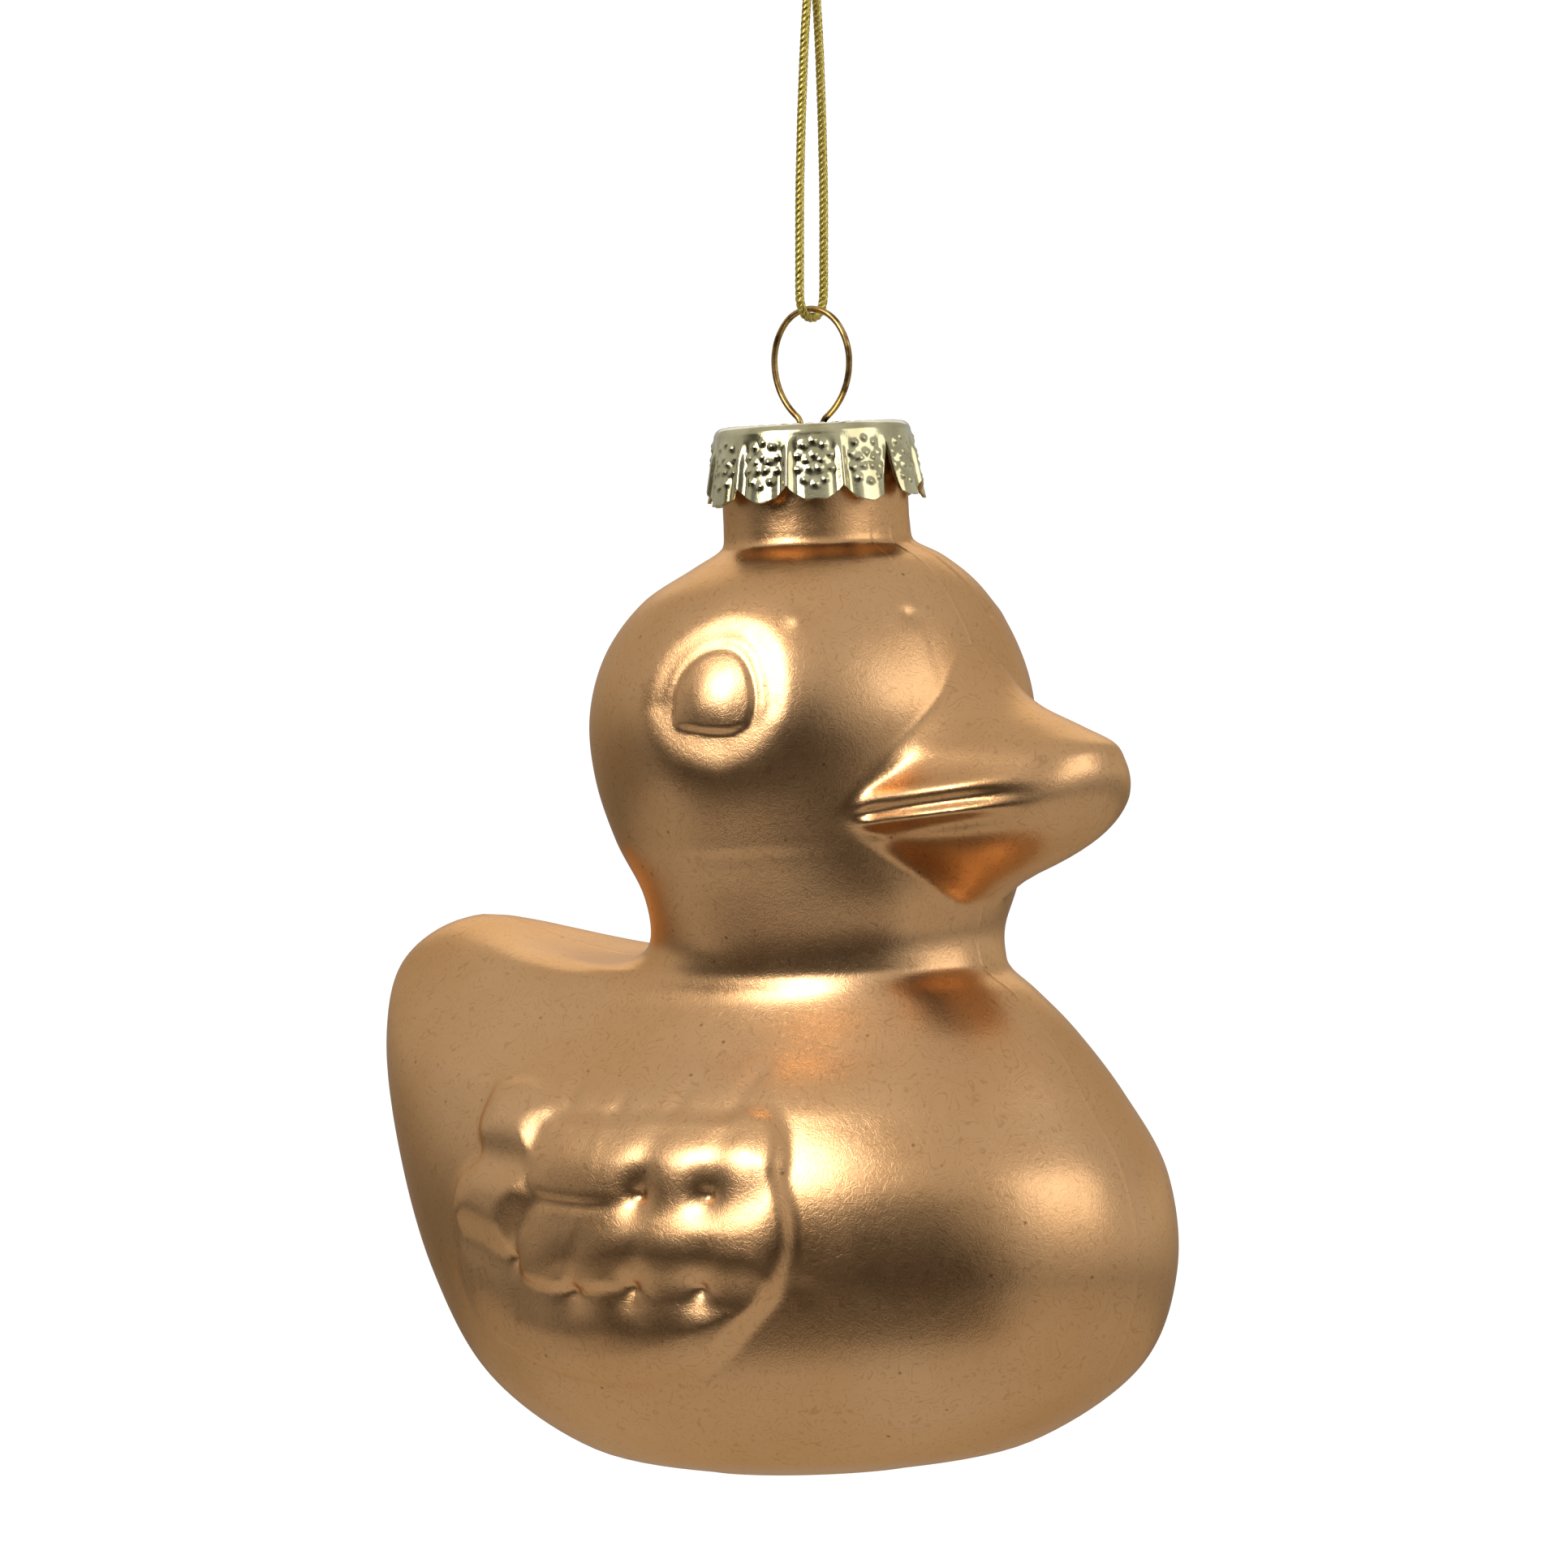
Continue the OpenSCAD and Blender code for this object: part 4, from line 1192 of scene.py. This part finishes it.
@dataclass
class CordLoop:
    """Braided metallic cord, folded through the wire's eye and knotted at the top."""

    cord_d: float = 0.8
    tail_l: float = 6.0
    tail_spread: float = 1.45
    plies: int = 4
    lay_mm: float = 2.1
    ply_share: float = 0.26
    wind_share: float = 0.24
    step: float = 0.1
    sides: int = 8
    knot_turns: float = 2.2
    knot_r: float = 0.95
    knot_rise: float = 0.638
    finish: Finish = field(default_factory=lambda: MetallicYarn("olive_gold_foil_yarn"))

    def route(self) -> Array:
        """The cord's middle from the knot, round the wire and back, in millimetres."""
        half = np.array(HALF_ROUTE, float)
        flat = np.vstack([half, half[-2::-1] * [-1, 1]])
        return np.stack([0 * flat[:, 0], flat[:, 0], flat[:, 1]], -1)

    def ply(self, path: Array, number: int) -> tuple[Array, Array, Array]:
        """One ply wound round a path: a tube on a helix that swells and narrows by turns.

        Args:
            path: The cord's middle, in even steps.
            number: The ply's number, which sets where its helix starts.

        Returns:
            The tube's rings, its middle and the run along the cord.
        """
        across, square = frames_along(path)
        run = np.arange(len(path)) * np.linalg.norm(path[1] - path[0])
        t = 2 * np.pi * (run / self.lay_mm + number / self.plies)
        out = np.cos(t)[:, None] * across + np.sin(t)[:, None] * square
        middle = path + self.wind_share * self.cord_d * out
        way = unit(np.gradient(middle, axis=0))
        out = unit(out - (out * way).sum(1, keepdims=True) * way)
        beat = 1 + 0.16 * np.cos(4 * np.pi * run / self.lay_mm + number * np.pi)
        beat[[0, -1]] *= 0.5
        radius = self.ply_share * self.cord_d * beat
        return carry(middle, out, np.cross(way, out), radius, self.sides), middle, run

    def braid(self, name: str, paths: Sequence[Array]) -> Piece:
        """Plies wound round each path, with a UV of millimetres along and turns round."""
        points, faces, start, marks = [], [], 0, []
        turn = np.linspace(0, 1, self.sides, endpoint=False)[None]
        for path in paths:
            fine = resample(path, self.step)
            for number in range(self.plies):
                rings, middle, run = self.ply(fine, number)
                points += [rings.reshape(-1, 3), middle[:1], middle[-1:]]
                faces += tube_faces(len(fine), self.sides, start)
                uv = np.stack(np.broadcast_arrays(run[:, None], turn + number), -1)
                marks += [uv.reshape(-1, 2), [[run[0], number]], [[run[-1], number]]]
                start += len(fine) * self.sides + 2
        groups = [np.vstack([f for f in faces if f.shape[1] == n]) for n in (4, 3)]
        piece = make_mesh(name, np.vstack(points) * MM, groups)
        layer = piece.data.uv_layers.new(name="along_the_yarn")
        corners = np.empty(len(piece.data.loops), np.int32)
        piece.data.loops.foreach_get("vertex_index", corners)
        layer.data.foreach_set("uv", np.vstack(marks)[corners].astype(np.float32).ravel())
        return piece

    def knot(self) -> Piece:
        """Knot: tight turns of the cord round both strands, and two short tails."""
        foot = HALF_ROUTE[0][1]
        t = np.linspace(0, 2 * np.pi * self.knot_turns, 160)
        r = self.knot_r + 0.06 * np.sin(2 * t)
        rise = foot + 0.45 + self.knot_rise * t / (2 * np.pi)
        paths = [np.stack([r * np.cos(t), r * np.sin(t), rise], -1)]
        up = np.linspace(0, 1, 30)
        for side in (-1, 1):
            paths.append(np.stack([0.15 * side * np.sin(3 * up),
                                   side * (0.45 + self.tail_spread * up ** 1.5),
                                   foot + 0.2 + (self.tail_l + 1.35) * up], -1))
        return self.braid("cord_knot_turns", paths)

    def build(self) -> list[Piece]:
        """The loop and its knot."""
        knot = dress(self.knot(), self.finish, "cord_braid", Body.CORD, "cord_knot")
        route = self.route()
        loop = dress(self.braid("hanging_cord_braid", [route]), self.finish, "cord_braid",
                     Body.CORD, "hanging_cord")
        return [loop, knot]


@dataclass(frozen=True)
class Softbox:
    """A square soft light that faces the duck from an azimuth and an elevation."""

    name: str
    azimuth: float
    elevation: float
    distance: float
    width: float
    height: float
    power: float

    def build(self, aim: Vector) -> Piece:
        """The light, turned to face the aim."""
        data = bpy.data.lights.new(self.name, "AREA")
        data.shape = "RECTANGLE"
        data.size, data.size_y = self.width, self.height
        data.energy = self.power
        light = into_scene(self.name, data)
        back = way_back(self.azimuth, self.elevation)
        light.location = aim + back * self.distance
        light.rotation_euler = back.to_track_quat("Z", "Y").to_euler()
        return light


def way_back(azimuth: float, elevation: float) -> Vector:
    """The way from the duck to a place seen at an azimuth and an elevation, in degrees."""
    a, e = math.radians(azimuth), math.radians(elevation)
    return Vector((math.sin(a) * math.cos(e), -math.cos(a) * math.cos(e), math.sin(e)))


# Darker parts of the room, and a paler one: turn from the camera in degrees, cosines at
# which it starts and is full, heights at which it is gone and is full, and its depth
ROOM_SHADES = ((-66, -0.25, 0.2, 0.17, 0.02, 0.1), (-34, 0.42, 0.78, 0.46, 0.32, 0.86),
               (95, 0.3, 0.8, 0.3, 0.0, -0.35))
# Soft lights: name, turn from the camera, elevation, distance, width, height and power
LIGHTS = (
    ("key_softbox", -46, 33, 1.1, 0.72, 0.66, 5.0),
    ("key_core", -42, 33, 1.05, 0.2, 0.4, 3.0),
    ("fill_softbox", 62, 25, 1.1, 0.8, 0.5, 1.75),
    ("back_softbox", 180, 30, 1.2, 0.9, 0.7, 1.2),
)
# Where the black net ends, in degrees: turn from the camera, and elevation
NET_TURNS = (-165, 36)
NET_RISES = (-41, 9)


@dataclass
class Studio:
    """Pale floor, soft lights, pale surroundings and the camera at the picture's angle."""

    azimuth: float = 37.5
    elevation: float = 4.0
    distance: float = 0.9
    view_width: float = 0.13524
    aim: tuple[float, float, float] = (0.0, 0.0, -0.07915)
    slide: Place = (-0.00238, 0.00898)
    floor_z: float = -0.30
    floor_r: float = 0.62
    flag_r: float = 0.34
    finish: Finish = field(default_factory=lambda: PaleFloor("matt_white_sweep"))

    def camera(self) -> Piece:
        """Camera that sees the duck as large and from the same side as the picture does."""
        data = bpy.data.cameras.new("picture_camera")
        data.sensor_width = 36.0
        data.lens = data.sensor_width * self.distance / self.view_width
        data.clip_start, data.clip_end = 0.05, 60.0
        camera = into_scene("picture_camera", data)
        back = way_back(self.azimuth, self.elevation)
        a = math.radians(self.azimuth)
        right = Vector((math.cos(a), math.sin(a), 0.0))
        up = back.cross(right)
        eye = Vector(self.aim) + back * self.distance
        target = Vector(self.aim) + right * self.slide[0] + up * self.slide[1]
        camera.location = eye
        camera.rotation_euler = (eye - target).to_track_quat("Z", "Y").to_euler()
        bpy.context.scene.camera = camera
        return camera

    def floor(self) -> Piece:
        """A wide round floor under the duck."""
        n = 96
        rings = level_rings([(r, self.floor_z) for r in (self.floor_r, self.floor_r / 8)],
                            turns(n))
        points = np.vstack([rings.reshape(-1, 3), [[0, 0, self.floor_z]]])
        floor = make_sheet("studio_floor", points, [ring_quads(2, n), fan(2 * n, n, n)])
        floor.data.materials.append(self.finish.material())
        return floor

    def flag(self) -> Piece:
        """A black net bent round the front below the duck, which only reflections show.

        It is a band of a ball. Its cover fades to nothing at its edges, and on the duck's
        left it is thinner and hangs lower.
        """
        azimuth = np.linspace(*NET_TURNS, 68)[:, None]
        elevation = np.linspace(*NET_RISES, 22)[None, :]
        a, e = np.radians(azimuth + self.azimuth), np.radians(elevation)
        level = np.cos(e)
        way = np.stack([np.sin(a) * level, -np.cos(a) * level, np.sin(e) + 0 * a], -1)
        beside = smooth((-62 - azimuth) / 26)
        cover = (smooth((3 - 14 * beside - elevation) / 9)
                 * smooth((elevation - NET_RISES[0]) / 6)
                 * smooth((34 - azimuth) / 12) * smooth((azimuth + 163) / 20)
                 * (0.86 - 0.66 * beside))
        rows, cols = cover.shape
        i, j = np.arange(rows - 1)[:, None] * cols, np.arange(cols - 1)[None, :]
        quads = np.stack([i + j, i + j + 1, i + j + cols + 1, i + j + cols], -1)
        flag = make_sheet("studio_flag", np.array(self.aim) + way * self.flag_r,
                          [quads.reshape(-1, 4)])
        layer = flag.data.attributes.new("cover", "FLOAT", "POINT")
        layer.data.foreach_set("value", cover.astype(np.float32).ravel())
        flag.visible_camera = False
        flag.visible_shadow = False
        flag.data.materials.append(BlackNet("black_net_flag").material())
        return flag

    def surroundings(self) -> None:
        """A white room for the camera, and one that darkens downwards for reflections."""
        world = bpy.data.worlds.new("pale_studio")
        bpy.context.scene.world = world
        world.use_nodes = True
        tree = world.node_tree
        tree.nodes.clear()
        at = add(tree, "TexCoord").outputs["Generated"]
        up = add(tree, "SeparateXYZ", {0: at}).outputs["Z"]
        height = add(tree, "MapRange", {0: up, 1: -1.0, 2: 1.0}).outputs[0]
        light = ramp(tree, height, [(0.0, 0.3), (0.4, 0.22), (0.47, 0.36), (0.53, 0.5),
                                    (0.75, 0.56), (1.0, 0.66)])
        for turn, edge, full, top, low, deep in ROOM_SHADES:
            a = math.radians(self.azimuth + turn)
            facing = add(tree, "VectorMath", {0: at, 1: (math.sin(a), -math.cos(a), 0)},
                         operation="DOT_PRODUCT").outputs["Value"]
            sector = add(tree, "MapRange", {0: facing, 1: edge, 2: full},
                         interpolation_type="SMOOTHSTEP").outputs[0]
            below = add(tree, "MapRange", {0: up, 1: low, 2: top, 3: deep, 4: 0.0},
                        interpolation_type="SMOOTHSTEP").outputs[0]
            dark = add(tree, "Math", {0: sector, 1: below}, operation="MULTIPLY").outputs[0]
            left = add(tree, "Math", {0: 1.0, 1: dark}, operation="SUBTRACT").outputs[0]
            light = add(tree, "VectorMath", {0: light, "Scale": left}, operation="SCALE"
                        ).outputs[0]
        seen = add(tree, "LightPath").outputs["Is Camera Ray"]
        dim = add(tree, "Background", {"Color": light, "Strength": 1.0})
        bright = add(tree, "Background", {"Color": (1, 1, 1, 1), "Strength": 1.1})
        both = add(tree, "MixShader", {0: seen, 1: dim.outputs[0], 2: bright.outputs[0]})
        add(tree, "OutputWorld", {0: both.outputs[0]})

    def build(self) -> None:
        """Everything that isn't the duck."""
        self.camera()
        self.floor()
        self.flag()
        self.surroundings()
        for name, turn, *rest in LIGHTS:
            Softbox(name, self.azimuth + turn, *rest).build(Vector(self.aim))
        settings = bpy.context.scene.view_settings
        settings.view_transform = "Standard"
        settings.look = "None"


def main() -> None:
    """Builds the studio and the cord first, then the wire, the cap and the glass."""
    logging.basicConfig(level=logging.INFO, format="%(name)s: %(message)s")
    hang = Hang.from_joint()
    Studio().build()
    CordLoop().build()
    WireHanger(hang).build()
    StampedCap(hang).build()
    GlassDuck(hang).build()


if __name__ == "__main__":
    main()
